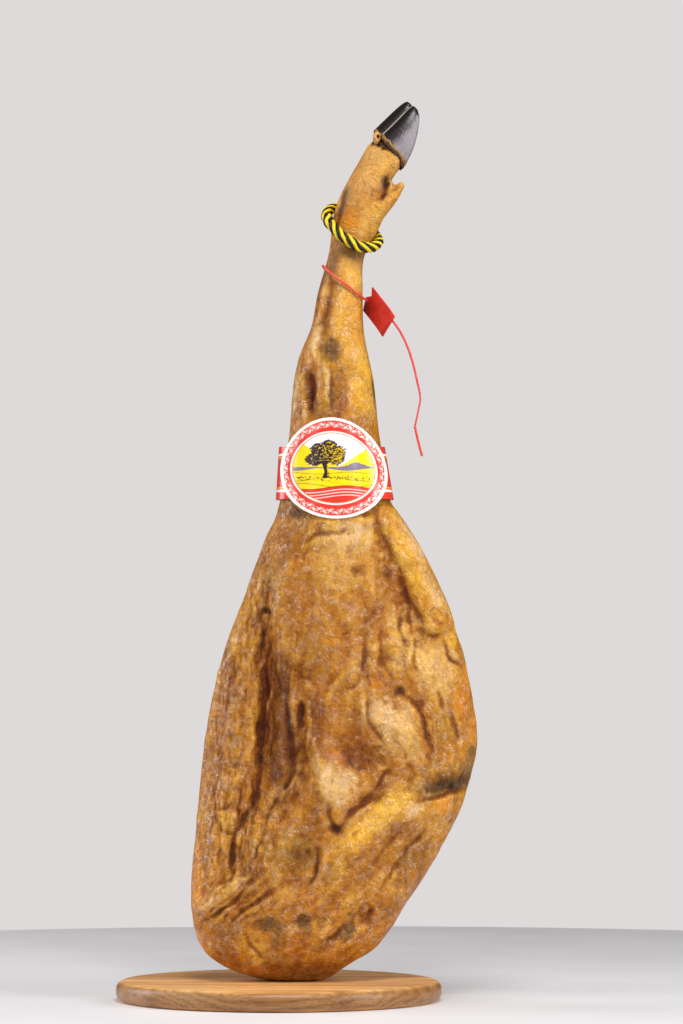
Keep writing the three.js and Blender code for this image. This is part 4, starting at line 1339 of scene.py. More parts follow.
def angle_round(points: Array, middle: Array, start: float, clockwise: bool) -> Array:
    """How far round a middle points lie, in degrees from the start angle."""
    angle = np.degrees(np.arctan2(points[:, 1] - middle[1], points[:, 0] - middle[0]))
    return (start - angle) % 360 if clockwise else (angle - start) % 360


@dataclass
class RopeLoop:
    """The twisted rope round the ankle, and the whipping that joins its ends behind it.

    Its six strands are laid side by side, yellow and black in turn.
    """

    diameter: float = 10.5 * MM
    pitch: float = 36 * MM
    points_round: int = 10
    # How far the rope reaches between two strands, as a share of its radius, and how much of it is black
    valley: float = 0.74
    black_share: float = 0.53
    whipping_turns: int = 13
    whipping_thread: float = 1.25 * MM
    yellow: Yarn = Yarn("yellow_rope_yarn", "#F6DA1C", "#D0A410")
    black: Yarn = Yarn("black_rope_yarn", "#1D1A17", "#0D0B0A")
    thread: Yarn = Yarn("black_whipping_twine", "#2A2723", "#12100E", 0.55, 0.3)

    def line(self, node: Object) -> Array:
        """The rope's middle, from the solid's own rings."""
        points = different_points(node)
        order = angle_round(points, (points.min(axis=0) + points.max(axis=0)) / 2, 90.0, False)
        return smooth_line(ring_middles(node, order, self.points_round), 150)

    def strand_shape(self) -> Array:
        """The rope's section, as shares of its radius: six rounded lobes, the black ones wider."""
        black = 2 * math.pi / 3 * self.black_share
        shape = []
        for angle in np.linspace(0, 2 * math.pi, 96, endpoint=False):
            place = angle % (2 * math.pi / 3)
            share = place / black if place < black else (place - black) / (2 * math.pi / 3 - black)
            shape.append(self.valley + (1 - self.valley) * math.sin(math.pi * share) ** 0.55)
        return np.array(shape)

    def build(self, nodes: dict) -> tuple[Object, Object]:
        """Builds the rope and its whipping in place of their solids.

        Args:
            nodes: the solids by name.

        Returns:
            The rope and the whipping.
        """
        line = self.line(nodes["rope_loop"])
        tube = Tube(line, self.diameter / 2, 96, self.pitch, Ends.FLAT, self.strand_shape())
        rope = tube.build("twisted_rope")
        self.colour_strands(rope, tube)
        whipping = self.whipping(line)
        for piece, node, slot in (
            (rope, "rope_loop", "rope_fibre"),
            (whipping, "rope_whipping", "whipping_twine"),
        ):
            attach(piece, "root")
            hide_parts(node)
        return rope, whipping

    def colour_strands(self, rope: Object, tube: Tube) -> None:
        """Gives each face the yarn of the strand that it is on."""
        rope.data.materials.append(self.yellow.material())
        rope.data.materials.append(self.black.material())
        third = tube.sides / 3
        for face in rope.data.polygons:
            if len(face.vertices) == 4:
                around = sorted(rope.data.vertices[v].index % tube.sides for v in face.vertices)
                place = around[0] if around[-1] - around[0] < 3 else tube.sides - 1
                face.material_index = int(place % third < third * self.black_share)
            else:
                face.material_index = 1

    def whipping(self, line: Array) -> Object:
        """Winds the whipping's twine from the rope's last point back to its first."""
        start, end = line[-1], line[0]
        lead = (line[-1] - line[-8]) / np.linalg.norm(line[-1] - line[-8])
        leave = (line[7] - line[0]) / np.linalg.norm(line[7] - line[0])
        gap = np.linalg.norm(end - start)
        share = np.linspace(0, 1, 40)[:, None]
        middle = (
            (2 * share**3 - 3 * share**2 + 1) * start
            + (share**3 - 2 * share**2 + share) * gap * 1.1 * lead
            + (3 * share**2 - 2 * share**3) * end
            + (share**3 - share**2) * gap * 1.1 * leave
        )
        core = smooth_line(middle, 14 * self.whipping_turns)
        phase = np.arange(len(core)) / 14
        ridges = 1 + 0.05 * np.cos(2 * np.pi * phase)
        tube = Tube(core, self.diameter / 2 + self.whipping_thread / 2, 24)
        piece = tube.build("rope_whipping_twine")
        points = points_of(piece)
        rings = np.repeat(ridges, tube.sides)
        centres = np.repeat(core, tube.sides, axis=0)
        rounded = np.clip(np.minimum(phase, phase[::-1]) / 0.4, 0.0, 1.0) ** 0.5 * 0.14 + 0.86
        ends = np.repeat(rounded, tube.sides)
        move_points(piece, centres + (points - centres) * (rings * ends)[:, None])
        piece.data.materials.append(self.thread.material())
        return piece


@dataclass
class Seal:
    """The pull-tight plastic seal: a tag beside the shank, its strap round the shank, and its loose tail."""

    strap_diameter: float = 2.2 * MM
    tail_end_diameter: float = 2.4 * MM
    points_round: int = 8
    # How wide the tag's raised rim is
    rim: float = 1.2 * MM
    # How far the tag bends forward 1 mm below its middle, in mm, growing with that distance squared
    bend: float = 0.004
    red: MouldedPlastic = MouldedPlastic("red_seal_polypropylene", "#D63A33", "#C22A25", 0.24)
    bright: MouldedPlastic = MouldedPlastic("red_strap_polypropylene", "#E04B3F", "#D0382D", 0.3)

    def build(self, nodes: dict) -> list[Object]:
        """Builds the tag, strap and tail in place of their solids.

        Args:
            nodes: the solids by name.

        Returns:
            The pieces.
        """
        tag = self.tag(nodes["seal_tag"])
        strap, strap_line = self.strap(nodes["seal_strap"], nodes["seal_tag"])
        tail_line = self.hanging(nodes["seal_tail"])
        inward = points_of(tag).mean(axis=0) - tail_line[0]
        tail_line = np.vstack([tail_line[0] + inward * (5 * MM / np.linalg.norm(inward)), tail_line])
        tail = Tube(tail_line, self.strap_diameter / 2, 14, narrow=0.8).build("seal_tail_cord")
        end_line = smooth_line(np.vstack([tail_line[-1:], self.hanging(nodes["seal_tail_end"])]), 50)
        end = Tube(end_line, self.tail_end_diameter / 2, 14, ends=Ends.ROUND).build("seal_tail_point")
        for piece in (tail, end):
            piece.data.materials.append(self.bright.material())
        pieces = {"seal_tag": tag, "seal_strap": strap, "seal_tail": tail, "seal_tail_end": end}
        for node, piece in pieces.items():
            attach(piece, "root")
            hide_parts(node)
        return list(pieces.values())

    def strap(self, node: Object, tag: Object) -> tuple[Object, Array]:
        """The strap, from the tag's face round the shank to the tag's back."""
        points = different_points(node)
        middle = np.array([points[:, 0].min() + 21 * MM, 0.0, 0.0])
        lock = different_points(node)[np.argsort(points[:, 0])[-1]]
        cut = math.degrees(math.atan2(lock[1] - middle[1], lock[0] - middle[0])) - 3.0
        order = angle_round(points, middle, cut, True)
        line = smooth_line(ring_middles(node, order, self.points_round), 120)
        piece = Tube(line, self.strap_diameter / 2, 14).build("seal_strap_cord")
        piece.data.materials.append(self.bright.material())
        return piece, line

    def hanging(self, node: Object) -> Array:
        """The middle of a hanging stretch of the tail, from its top down."""
        points = different_points(node)
        return smooth_line(ring_middles(node, -points[:, 2], self.points_round), 70)

    def tag(self, node: Object) -> Object:
        """The tag: its own solid's outline with a sunk face, its lower end slightly bent to the front."""
        piece = copy_of(node, "seal_tag_plate")
        only(piece)
        bpy.ops.object.mode_set(mode="EDIT")
        bpy.ops.mesh.select_all(action="SELECT")
        bpy.ops.mesh.dissolve_limited(angle_limit=math.radians(2))
        bpy.ops.object.mode_set(mode="OBJECT")
        facing = max(piece.data.polygons, key=lambda one: one.area * (one.normal.y < 0)).normal.copy()
        points = points_of(piece)
        middle = (points.min(axis=0) + points.max(axis=0)) / 2
        along = np.linalg.svd(points - points.mean(axis=0))[2][0]
        along = along if along[2] > 0 else -along
        for side in (1, -1):
            for one in piece.data.polygons:
                one.select = one.normal.dot(facing) * side > 0.999 and len(one.vertices) == 6
            bpy.ops.object.mode_set(mode="EDIT")
            bpy.ops.mesh.select_mode(type="FACE")
            bpy.ops.mesh.inset(thickness=self.rim, depth=0.0)
            bpy.ops.mesh.inset(thickness=0.25 * MM, depth=-0.35 * MM)
            bpy.ops.object.mode_set(mode="OBJECT")
        bpy.ops.object.mode_set(mode="EDIT")
        for step in range(14):
            bpy.ops.mesh.select_all(action="SELECT")
            bpy.ops.mesh.bisect(plane_co=middle - along * (step * 1.5 - 1) * MM, plane_no=along)
        bpy.ops.object.mode_set(mode="OBJECT")
        points = points_of(piece)
        below = np.maximum(0, -((points - middle) @ along)) / MM
        move_points(piece, points + np.array(facing) * (self.bend * below**2 * MM)[:, None])
        piece.data.materials.append(self.red.material())
        only(piece)
        bpy.ops.object.shade_smooth_by_angle(angle=math.radians(35))
        return piece


@dataclass
class Flow:
    """How the fibres run at each point of the skin.

    Args:
        x: the points' places across, in mm.
        up: their heights, in mm.
        depth: their places from the front to the back, in mm.
        courses: the ways that fibres may run, anticlockwise from across, in degrees.
    """

    x: Array
    up: Array
    depth: Array
    courses: tuple[float, ...]

    def __post_init__(self) -> None:
        """Shares each point out among the courses, and works out how wrinkled it is."""
        self.shares = np.zeros((len(self.x), len(self.courses)))
        self.wrinkled = np.full(len(self.x), 0.04)
        total = np.zeros(len(self.x))
        for fibre in FIBRES:
            across = (self.x - fibre.centre[0]) / fibre.size[0]
            away = np.hypot(across, (self.up - fibre.centre[1]) / fibre.size[1])
            weight = 1 - smoothstep(0.5, 1.3, away)
            total += weight
            self.wrinkled += weight * fibre.depth
            turned = [abs((fibre.angle - course + 90) % 180 - 90) for course in self.courses]
            self.shares[:, int(np.argmin(turned))] += weight
        self.shares[:, 0] += np.clip(1 - total, 0, 1)
        self.shares /= self.shares.sum(axis=1, keepdims=True)

    def streaks(self, grain: Grain, length: float, width: float, count: int, gain: float = 0.6) -> Array:
        """Noise drawn out along the fibres.

        Args:
            grain: the noise.
            length: how long a streak is, in mm.
            width: how wide it is, in mm.
            count: how many finer layers it has.
            gain: how strong each layer is beside the one before.

        Returns:
            One number for each point, from about -1 to 1.
        """
        total = np.zeros(len(self.x))
        for index, course in enumerate(self.courses):
            angle = math.radians(course)
            along = self.x * math.cos(angle) + self.up * math.sin(angle)
            beside = self.up * math.cos(angle) - self.x * math.sin(angle)
            deep = self.depth / (2.5 * width) + 13 * index
            grid = np.stack([along / length, beside / width, deep], axis=1)
            total += self.shares[:, index] * grain.layers(grid, count, gain)
        return total


@dataclass
class Ham:
    """The leg itself, sculpted over its solid and painted."""

    voxel: float = 3.45 * MM
    # How high the leg begins to be divided finely all round, in metres
    fine_from: float = 0.7
    # How often the skin is evened out to find its small hollows, and its broad furrows
    near_steps: int = 8
    broad_steps: int = 97
    seed: int = 41
    skin: CuredSkin = CuredSkin()

    def build(self, nodes: dict) -> Object:
        """Builds the ham in place of its solid.

        Args:
            nodes: the solids by name.

        Returns:
            The piece.
        """
        piece = self.blank(nodes["ham"])
        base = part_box("ham")[0].z
        self.sculpt(piece, base)
        self.paint(piece, base)
        piece.data.materials.append(self.skin.material())
        only(piece)
        bpy.ops.object.shade_smooth()
        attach(piece, "root")
        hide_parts("ham")
        corners = sum(len(face.vertices) - 2 for face in piece.data.polygons)
        log.info("ham with %d triangles", corners)
        return piece

    def blank(self, node: Object) -> Object:
        """A smooth copy of the solid, divided more finely on its meat side and its foot."""
        piece = copy_of(node, "cured_leg")
        only(piece)
        bpy.ops.object.mode_set(mode="EDIT")
        bpy.ops.mesh.select_all(action="SELECT")
        bpy.ops.mesh.tris_convert_to_quads(face_threshold=1.2, shape_threshold=1.2)
        bpy.ops.object.mode_set(mode="OBJECT")
        apply_modifier(piece, "SUBSURF", levels=2, render_levels=2)
        apply_modifier(piece, "REMESH", mode="VOXEL", voxel_size=self.voxel, adaptivity=0.0)
        apply_modifier(piece, "SMOOTH", factor=0.5, iterations=3)
        only(piece)
        bpy.ops.object.mode_set(mode="EDIT")
        bpy.ops.mesh.select_all(action="DESELECT")
        bpy.ops.mesh.select_mode(type="FACE")
        bpy.ops.object.mode_set(mode="OBJECT")
        for face in piece.data.polygons:
            face.select = face.normal.y < 0.05 or face.center.z > self.fine_from
        bpy.ops.object.mode_set(mode="EDIT")
        bpy.ops.mesh.subdivide(number_cuts=1, smoothness=0.6, ngon=False)
        bpy.ops.object.mode_set(mode="OBJECT")
        return piece

    def sculpt(self, piece: Object, base: float) -> None:
        """Moves the skin in and out along its normals: lumps, wrinkles, patches and lines."""
        points = points_of(piece)
        normals = points_of(piece, "normal")
        facing = smoothstep(0.05, 0.45, -normals[:, 1])
        grain = Grain(self.seed)
        mm = points / MM
        height = (points[:, 2] - base) / MM
        x = mm[:, 0] + 2.6 * grain.layers(mm / 26 + 3.0, 3)
        up = height + 2.6 * grain.layers(mm / 26 + 31.0, 3)
        foot = smoothstep(540, 620, height)
        rise = 1.3 * grain.layers(mm / 34, 2) + 0.6 * grain.layers(mm / 13 + 5.0, 2)
        rise *= (0.45 + 0.55 * facing) * (1 - 0.8 * foot)
        rise += 0.42 * grain.layers(mm / 7 + 8.0, 3, 0.6) * (1 - 0.75 * foot) * (0.35 + 0.65 * facing)
        flow = Flow(x, up, mm[:, 1], self.skin.courses)
        wrinkles = 1.5 * flow.streaks(grain, 34, 7.5, 2, 0.5) + 0.8 * flow.streaks(grain, 15, 3.4, 2, 0.6)
        rise += wrinkles * flow.wrinkled * facing
        for patch in PATCHES:
            if patch.rise:
                rise += patch.rise * np.exp(-((patch.away(x, up) * 1.1) ** 2)) * facing
        for index, line in enumerate(LINES):
            laid = line.lay(x, up)
            still = 0 * laid.along
            wave = grain.at(np.stack([laid.along / 13, still + 7.7 * index, still], axis=1))
            lopsided = 0.95 + 0.35 * np.tanh(2 * laid.beside / line.width) if line.rise < 0 else 1.0
            share = laid.away / (line.width * lopsided * (1 + 0.35 * wave))
            profile = np.exp(-1.2 * share) if line.sharp else np.exp(-(share**2))
            rise[laid.near] += line.rise * (1 + 0.5 * wave) * profile * laid.fade * facing[laid.near]
        collar = self.collar(grain, mm, height)
        rise = rise * (1 - collar) - (1.7 + 0.7 * grain.layers(mm / 3 + 4.0, 2)) * collar
        keep = smoothstep(0.5, 10, height) * self.clear_of_fittings(height)
        move_points(piece, points + normals * (rise * keep * MM)[:, None])

    def collar(self, grain: Grain, mm: Array, height: Array) -> Array:
        """How far points are inside the sunk, ragged band between the foot's skin and the claws."""
        below = (mm[:, 0] - 109) * 0.47 + (height - 809) * 0.88
        return smoothstep(-9.5, -7.0, below + 2.2 * grain.layers(mm / 6 + 14.0, 3, 0.7))

    def clear_of_fittings(self, height: Array) -> Array:
        """How much of the relief there is room for: less under the sleeve, the strap and the rope."""
        room = np.ones(len(height))
        for low, high, left in ((462, 546, 0.15), (655, 706, 0.6), (704, 756, 0.6)):
            inside = smoothstep(low - 8, low + 2, height) * (1 - smoothstep(high - 2, high + 8, height))
            room *= 1 - inside * (1 - left)
        return room

    def paint(self, piece: Object, base: float) -> None:
        """Gives each point its tone, the course of its grain and how dry it is, with painted shade in its
        hollows and furrows and a painted highlight on its crests.
        """
        points = points_of(piece)
        normals = points_of(piece, "normal")
        facing = smoothstep(-0.05, 0.3, -normals[:, 1])
        grain = Grain(self.seed + 1)
        mm = points / MM
        height = (points[:, 2] - base) / MM
        x = mm[:, 0] + 2.4 * grain.layers(mm / 20, 3, 0.6)
        up = height + 2.4 * grain.layers(mm / 20 + 40.0, 3, 0.6)
        flow = Flow(x, up, mm[:, 1], self.skin.courses)
        long = flow.streaks(grain, 42, 9, 4)
        short = flow.streaks(grain, 18, 3.6, 3, 0.7)
        cloud = grain.layers(mm / 8 + 20.0, 3, 0.65)
        colour = self.ground(grain, mm, long, facing)
        ragged = 0.55 * short + 0.3 * long + 0.45 * cloud
        dry = 0.42 + 0.06 * grain.layers(mm / 30 + 70.0, 2)
        for patch in PATCHES:
            away = patch.away(x, up) + patch.ragged * 0.55 * ragged
            share = (1 - smoothstep(0.4, 1.2, away)) * facing
            colour = mix(colour, patch.tone, patch.strength * share * np.clip(0.88 + 0.4 * ragged, 0.3, 1.1))
            dry += patch.dry * share
        coarse = np.clip(flow.wrinkled / 0.6, 0.1, 1.0) * facing
        bright = np.clip(colour[:, 1] / 0.2, 0.2, 1.1)
        colour = mix(colour, T.STRAW, 0.42 * coarse * bright * smoothstep(0.12, 0.9, short))
        colour = mix(colour, T.UMBER, 0.42 * coarse * smoothstep(0.12, 0.9, -short))
        grit = smoothstep(0.62, 0.95, grain.layers(mm / 2.4 + 11.0, 2, 0.7))
        grit *= smoothstep(0.0, 0.5, grain.layers(mm / 19 + 60.0, 2)) * (0.3 + 0.7 * facing)
        colour = mix(colour, T.UMBER, 0.7 * grit)
        smudge = smoothstep(0.35, 0.9, grain.layers(mm / 11 + 33.0, 3, 0.7))
        colour = mix(colour, T.MOULD, 0.5 * smudge * smoothstep(190, 40, height) * facing)
        for index, line in enumerate(LINES):
            self.draw(line, index, line.lay(x, up), colour, ragged, grain, facing)
        collar = self.collar(Grain(self.seed), mm, height)
        colour = mix(colour, T.UMBER, collar)
        colour = mix(colour, T.DARK, collar * smoothstep(-0.1, 0.4, cloud))
        deep, crest, furrow = self.hollows(piece, points, normals)
        # Painted shade: darker in small hollows and broad furrows. Painted highlight: straw-coloured crests
        colour *= 1 - np.array([0.34, 0.46, 0.58]) * deep[:, None]
        colour *= 1 - np.array([0.42, 0.56, 0.7]) * furrow[:, None]
        colour = mix(colour, T.STRAW, 0.4 * crest * facing * np.clip(colour[:, 1] / 0.2, 0.2, 1.1))
        colour[:, 1] *= 0.92 + 0.08 * smoothstep(0.14, 0.34, colour[:, 1])
        low = 1 - smoothstep(600, 680, height)
        colour[:, 2] *= 1 - 0.45 * low * (1 - smoothstep(0.03, 0.14, colour[:, 2]))
        give_colours(piece, "paint", np.clip(colour, 0.002, 0.95))
        give_values(piece, "dry", np.clip(dry + 0.1 * deep, 0.15, 0.8))
        give_colours(piece, "flow", flow.shares)
        give_values(piece, "fibrous", 0.12 + 0.88 * coarse)
        gloss = np.clip(1.3 * colour[:, 1] / 0.2, 0.15, 1) * (1 - 0.8 * np.maximum(deep, furrow))
        give_values(piece, "gloss", gloss * (1 - 0.65 * smoothstep(640, 720, height)))

    def ground(self, grain: Grain, mm: Array, long: Array, facing: Array) -> Array:
        """The skin's tones under its patches: amber and brown meat in front, orange rind behind."""
        broad = grain.layers(mm * [1.0, 1.0, 0.5] / 30 + 2.0, 4, 0.6)
        meat = mix(np.tile(T.TAN.rgb(), (len(mm), 1)), T.AMBER, smoothstep(-0.5, 0.6, broad))
        meat = mix(meat, T.BROWN, 0.55 * smoothstep(0.0, 0.8, long))
        meat = mix(meat, T.PALE, 0.4 * smoothstep(0.1, 0.9, -long))
        rind = mix(np.tile(T.ORANGE.rgb(), (len(mm), 1)), T.TAN, 0.7 * smoothstep(-0.4, 0.6, broad))
        rind = mix(rind, T.BROWN, 0.35 * smoothstep(0.2, 1.0, long))
        return meat * facing[:, None] + rind * (1 - facing[:, None])

    def draw(
        self, line: Line, index: int, laid: Laid, colour: Array, ragged: Array, grain: Grain, facing: Array
    ) -> None:
        """Paints a line into the colours: a broken core, and beside a sunk, dark one a softer rust margin
        that is partly painted shade on the furrow's slopes.
        """
        near = laid.near
        wave = grain.at(np.stack([laid.along / 9, 0 * laid.along + 5.3 * index, 0 * laid.along], axis=1))
        vary = np.clip(0.72 + 0.7 * wave + 0.35 * ragged[near], 0.08, 1.15) * laid.fade * facing[near]
        width = line.width * line.spread * (0.62 + 0.25 * wave)
        # Painted shade: a soft rust darkening on the slopes beside a sunk line
        if line.rise < 0:
            margin = np.exp(-((laid.away / (1.5 * line.width)) ** 2))
            colour[near] = mix(colour[near], T.RUST, np.clip(0.55 * line.strength * margin * vary, 0, 1))
        core = np.exp(-((laid.away / width) ** 2))
        colour[near] = mix(colour[near], line.tone, np.clip(line.strength * core * vary, 0, 1))

    def hollows(self, piece: Object, points: Array, normals: Array) -> tuple[Array, Array, Array]:
        """How deep in a small hollow, how far out on a crest and how deep in a broad furrow points lie."""
        edges = np.empty(len(piece.data.edges) * 2, np.int32)
        piece.data.edges.foreach_get("vertices", edges)
        edges = edges.reshape(-1, 2)
        count = np.bincount(edges.ravel(), minlength=len(points))[:, None]
        smooth = points
        near = points
        for step in range(self.broad_steps):
            total = [
                np.bincount(edges[:, 0], smooth[edges[:, 1], k], len(points))
                + np.bincount(edges[:, 1], smooth[edges[:, 0], k], len(points))
                for k in range(3)
            ]
            smooth = np.stack(total, axis=1) / count
            if step == self.near_steps:
                near = smooth
        sunk = ((near - points) * normals).sum(axis=1) / MM
        broad = ((smooth - points) * normals).sum(axis=1) / MM
        return smoothstep(0.04, 0.55, sunk), smoothstep(0.06, 0.45, -sunk), smoothstep(0.3, 3.4, broad)


@dataclass(frozen=True)
class ClawLevel:
    """One level of the front claw: its left and right edges as seen from the front, and its depth, in mm."""

    left: Place
    right: Place
    front: float
    back: float

    def row(self) -> list[float]:
        """The level as six numbers."""
        return [*self.left, *self.right, self.front, self.back]


@dataclass
class Claws:
    """The two claws and the torn skin that grips them. The back claw mirrors the front one in depth."""

    levels: tuple[ClawLevel, ...] = (
        ClawLevel((97.4, 822.5), (120.4, 795.5), -19.8, -1.5),
        ClawLevel((105.8, 830.5), (126.6, 809.0), -20.3, -1.1),
        ClawLevel((115.5, 840.0), (131.0, 825.0), -18.8, -1.4),
        ClawLevel((122.8, 846.8), (132.9, 837.8), -15.8, -2.6),
        ClawLevel((126.6, 849.3), (131.9, 844.6), -13.0, -4.9),
    )
    # How far a point moves across and up for each millimetre of depth behind the leg's middle
    lean: Place = (-0.3, 0.35)
    rows: int = 60
    points_round: int = 64
    length: float = 31.0
    # The skin that grips a claw: its thickness, and how far it runs up and down from the claw's base
    skin_thickness: float = 0.35
    skin_up: float = 0.2
    skin_down: float = 3.4
    # The pinched fold's middle, and its size across, from front to back and up as shares of its radius
    knob_place: Place = (94.8, 815.5)
    knob_radius: float = 4.4
    knob_size: tuple[float, float, float] = (0.9, 1.0, 1.45)
    seed: int = 12
    horn: Horn = Horn()
    skin: TornSkin = TornSkin()

    def angles(self) -> Array:
        """The angles of a ring's points: 0 on the right, and 270 degrees on the claw's outer side."""
        return 2 * np.pi * np.arange(self.points_round) / self.points_round

    def ring(self, front: bool, shares: Array, swell: Array) -> Array:
        """Points round a claw.

        Args:
            front: whether it is the front claw, or else the back one.
            shares: how far along the claw each point of the ring is, 0 being its base and 1 its tip.
            swell: how far each stands off the horn, in mm.

        Returns:
            The places in mm, with heights above the board.
        """
        levels = smooth_line(np.array([level.row() for level in self.levels]), 80)
        at = np.linspace(0, 1, len(levels))
        rows = np.stack([np.interp(shares, at, levels[:, k]) for k in range(6)], axis=1)
        ahead = (levels[8] - levels[0])[:4].reshape(2, 2).mean(axis=0)
        ahead *= self.length / np.linalg.norm(ahead)
        rows[:, :4] += np.minimum(shares, 0)[:, None] * np.tile(ahead, 2)
        left, right, outer, inner = rows[:, 0:2], rows[:, 2:4], rows[:, 4], rows[:, 5]
        cosine, sine = np.cos(self.angles()), np.sin(self.angles())
        across = np.sign(cosine) * np.abs(cosine) ** (2 / 2.3)
        deep = np.sign(sine) * np.abs(sine) ** np.where(sine < 0, 2 / 2.2, 2 / 3.6)
        half = (right - left) / 2
        reach = across * (1 + swell / np.linalg.norm(half, axis=1))
        flat = (left + right) / 2 + half * reach[:, None]
        depth = (outer + inner) / 2 + (inner - outer) / 2 * deep + deep * swell
        depth = depth if front else -depth
        across, up = flat[:, 0] + self.lean[0] * depth, flat[:, 1] + self.lean[1] * depth
        return np.stack([across, depth, up], axis=1)

    def build(self) -> list[Object]:
        """Builds both claws in place of their solids, and the skin round them.

        Returns:
            The pieces.
        """
        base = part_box("ham")[0].z / MM
        grain = Grain(self.seed)
        material = self.horn.material()
        pieces = []
        for node, name, front in (
            ("claw_front", "horn_claw_front", True),
            ("claw_back", "horn_claw_back", False),
        ):
            piece = self.claw(name, front, base, grain)
            piece.data.materials.append(material)
            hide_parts(node)
            pieces.append(piece)
        torn = self.torn_skin(base, grain)
        torn.data.materials.append(self.skin.material())
        pieces.append(torn)
        for piece in pieces:
            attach(piece, "root")
        log.info("two claws and the skin round them")
        return pieces

    def claw(self, name: str, front: bool, base: float, grain: Grain) -> Object:
        """One claw, with faint growth rings and a blunt round tip."""
        angles = self.angles()
        shares = np.linspace(-0.12, 1, self.rows)
        rings = []
        for share in shares:
            level = share * 2 + 0 * angles
            lines = grain.at(np.stack([9 * np.cos(angles), 9 * np.sin(angles), level], axis=1))
            growth = math.sin(2 * np.pi * share * 9) * (1 - share) * 0.05
            rings.append(self.ring(front, share + 0 * angles, 0.05 * lines + growth - 1.2 * (share < -0.02)))
        tip = rings[-1].mean(axis=0)
        ahead = tip - rings[-4].mean(axis=0)
        ahead /= np.linalg.norm(ahead)
        rounding = ((0.86, 0.6), (0.6, 1.15), (0.2, 1.4))
        rings += [tip + (rings[-1] - tip) * wide + ahead * far for wide, far in rounding]
        grid = np.array(rings)
        grid[..., 2] += base
        piece = loft(name, grid * MM)
        share = np.concatenate([shares, [1.0, 1.0, 1.0]])[:, None]
        # The grey on the front claw's outer, lower right side: partly the horn's bloom, partly a painted
        # reflection of a soft box
        outer = smoothstep(0.1, -0.5, np.sin(angles)) if front else np.zeros(len(angles))
        worn = smoothstep(-0.85, -0.05, np.cos(angles) - 0.5 * share)
        worn *= smoothstep(1.25, 0.75, np.cos(angles))
        worn *= outer * smoothstep(1.02, 0.8, share)
        give_values(piece, "worn", worn.ravel())
        # A thin pale line along the front claw's left edge: a painted highlight
        edge = np.exp(-(((angles - np.pi) / 0.07) ** 2)) * (0.8 if front else 0.0)
        give_values(piece, "rim", np.tile(edge, len(share)))
        return piece

    def torn_skin(self, base: float, grain: Grain) -> Object:
        """The skin that grips both claws: pale where it meets the horn, and dark and ragged below."""
        angles = self.angles()
        round_ = np.stack([np.cos(angles), np.sin(angles)], axis=1)
        right = np.clip(round_[:, 0], 0, 1) ** 3
        pieces = []
        for front in (True, False):
            seat = np.column_stack([3 * round_, np.full(len(angles), 4.0 * front)])
            ragged = grain.layers(seat, 4, 0.7)
            top = (self.skin_up + 0.8 * ragged) / self.length
            bottom = -(self.skin_down + 7.0 * right + 2.0 * grain.layers(seat + 8.0, 3, 0.7)) / self.length
            rings = []
            for place in np.linspace(0, 1, 16):
                grid = np.column_stack([7 * round_, np.full(len(angles), 4.0 * place + 9.0 * front)])
                rough = grain.layers(grid, 3, 0.75)
                body = math.sin(math.pi * min(1.0, 0.12 + 0.8 * place)) ** 0.6
                thick = self.skin_thickness * body * (1 + (0.5 + 1.2 * right) * rough)
                thick -= 0.5 * (1 - place) ** 3
                rings.append(self.ring(front, bottom + (top - bottom) * place, thick))
            rings.append(self.ring(front, top - 0.02, np.full(len(angles), -0.4)))
            grid = np.array(rings)
            grid[..., 2] += base
            piece = loft("torn_skin", grid * MM)
            place = np.repeat(np.linspace(0, 1, len(rings)), len(angles))
            tones = grain.layers(grid.reshape(-1, 3) / 2.2, 3, 0.7)
            colours = mix(np.tile(T.UMBER.rgb(), (len(tones), 1)), T.DARK, smoothstep(-0.1, 0.5, tones))
            colours = mix(colours, T.TAN, 0.6 * smoothstep(0.3, 0.8, -tones))
            away = np.tile(1 - 0.8 * right, len(rings))
            colours = mix(colours, T.OLIVE, 0.8 * away * smoothstep(0.35, 0.65, place + 0.3 * tones))
            colours = mix(colours, T.STRAW, 0.5 * away * smoothstep(0.5, 0.9, place - 0.45 * tones))
            colours = mix(colours, T.DARK, smoothstep(0.86, 0.98, place))
            give_colours(piece, "paint", colours)
            pieces.append(piece)
        pieces += [self.knob(base)]
        deselect_all()
        for piece in pieces:
            piece.select_set(True)
        bpy.context.view_layer.objects.active = pieces[0]
        bpy.ops.object.join()
        return settle(pieces[0], "torn_skin_round_claws")

    def knob(self, base: float) -> Object:
        """The pinched, pale fold of skin at the claws' left, round a sunk hole painted dark as its shade."""
        x, height = self.knob_place
        deselect_all()
        radius = self.knob_radius * MM
        place = (x * MM, -8 * MM, (height + base) * MM)
        bpy.ops.mesh.primitive_uv_sphere_add(segments=40, ring_count=24, radius=radius, location=place)
        piece = bpy.context.object
        bpy.ops.transform.resize(value=self.knob_size, center_override=piece.location)
        bpy.ops.object.transform_apply(location=True, rotation=True, scale=True)
        points = points_of(piece)
        normals = points_of(piece, "normal")
        aside = (points[:, [0, 2]] / MM - np.array([x + 1.4, height + base + 0.8])) / [1.5, 2.0]
        inside = np.exp(-((aside**2).sum(axis=1) ** 1.5)) * (normals[:, 1] < 0)
        rough = Grain(self.seed + 3).layers(points / MM / 2.6, 3, 0.6)
        sunk = np.array([0, 3.0, 0]) * MM * inside[:, None]
        move_points(piece, points + sunk + normals * rough[:, None] * 0.3 * MM)
        colours = mix(np.tile(T.PALE.rgb(), (len(points), 1)), T.TAN, smoothstep(-0.2, 0.6, rough))
        # Painted shade: the inside of the sunk hole is painted dark
        give_colours(piece, "paint", mix(colours, T.DARK, smoothstep(0.25, 0.6, inside)))
        return piece


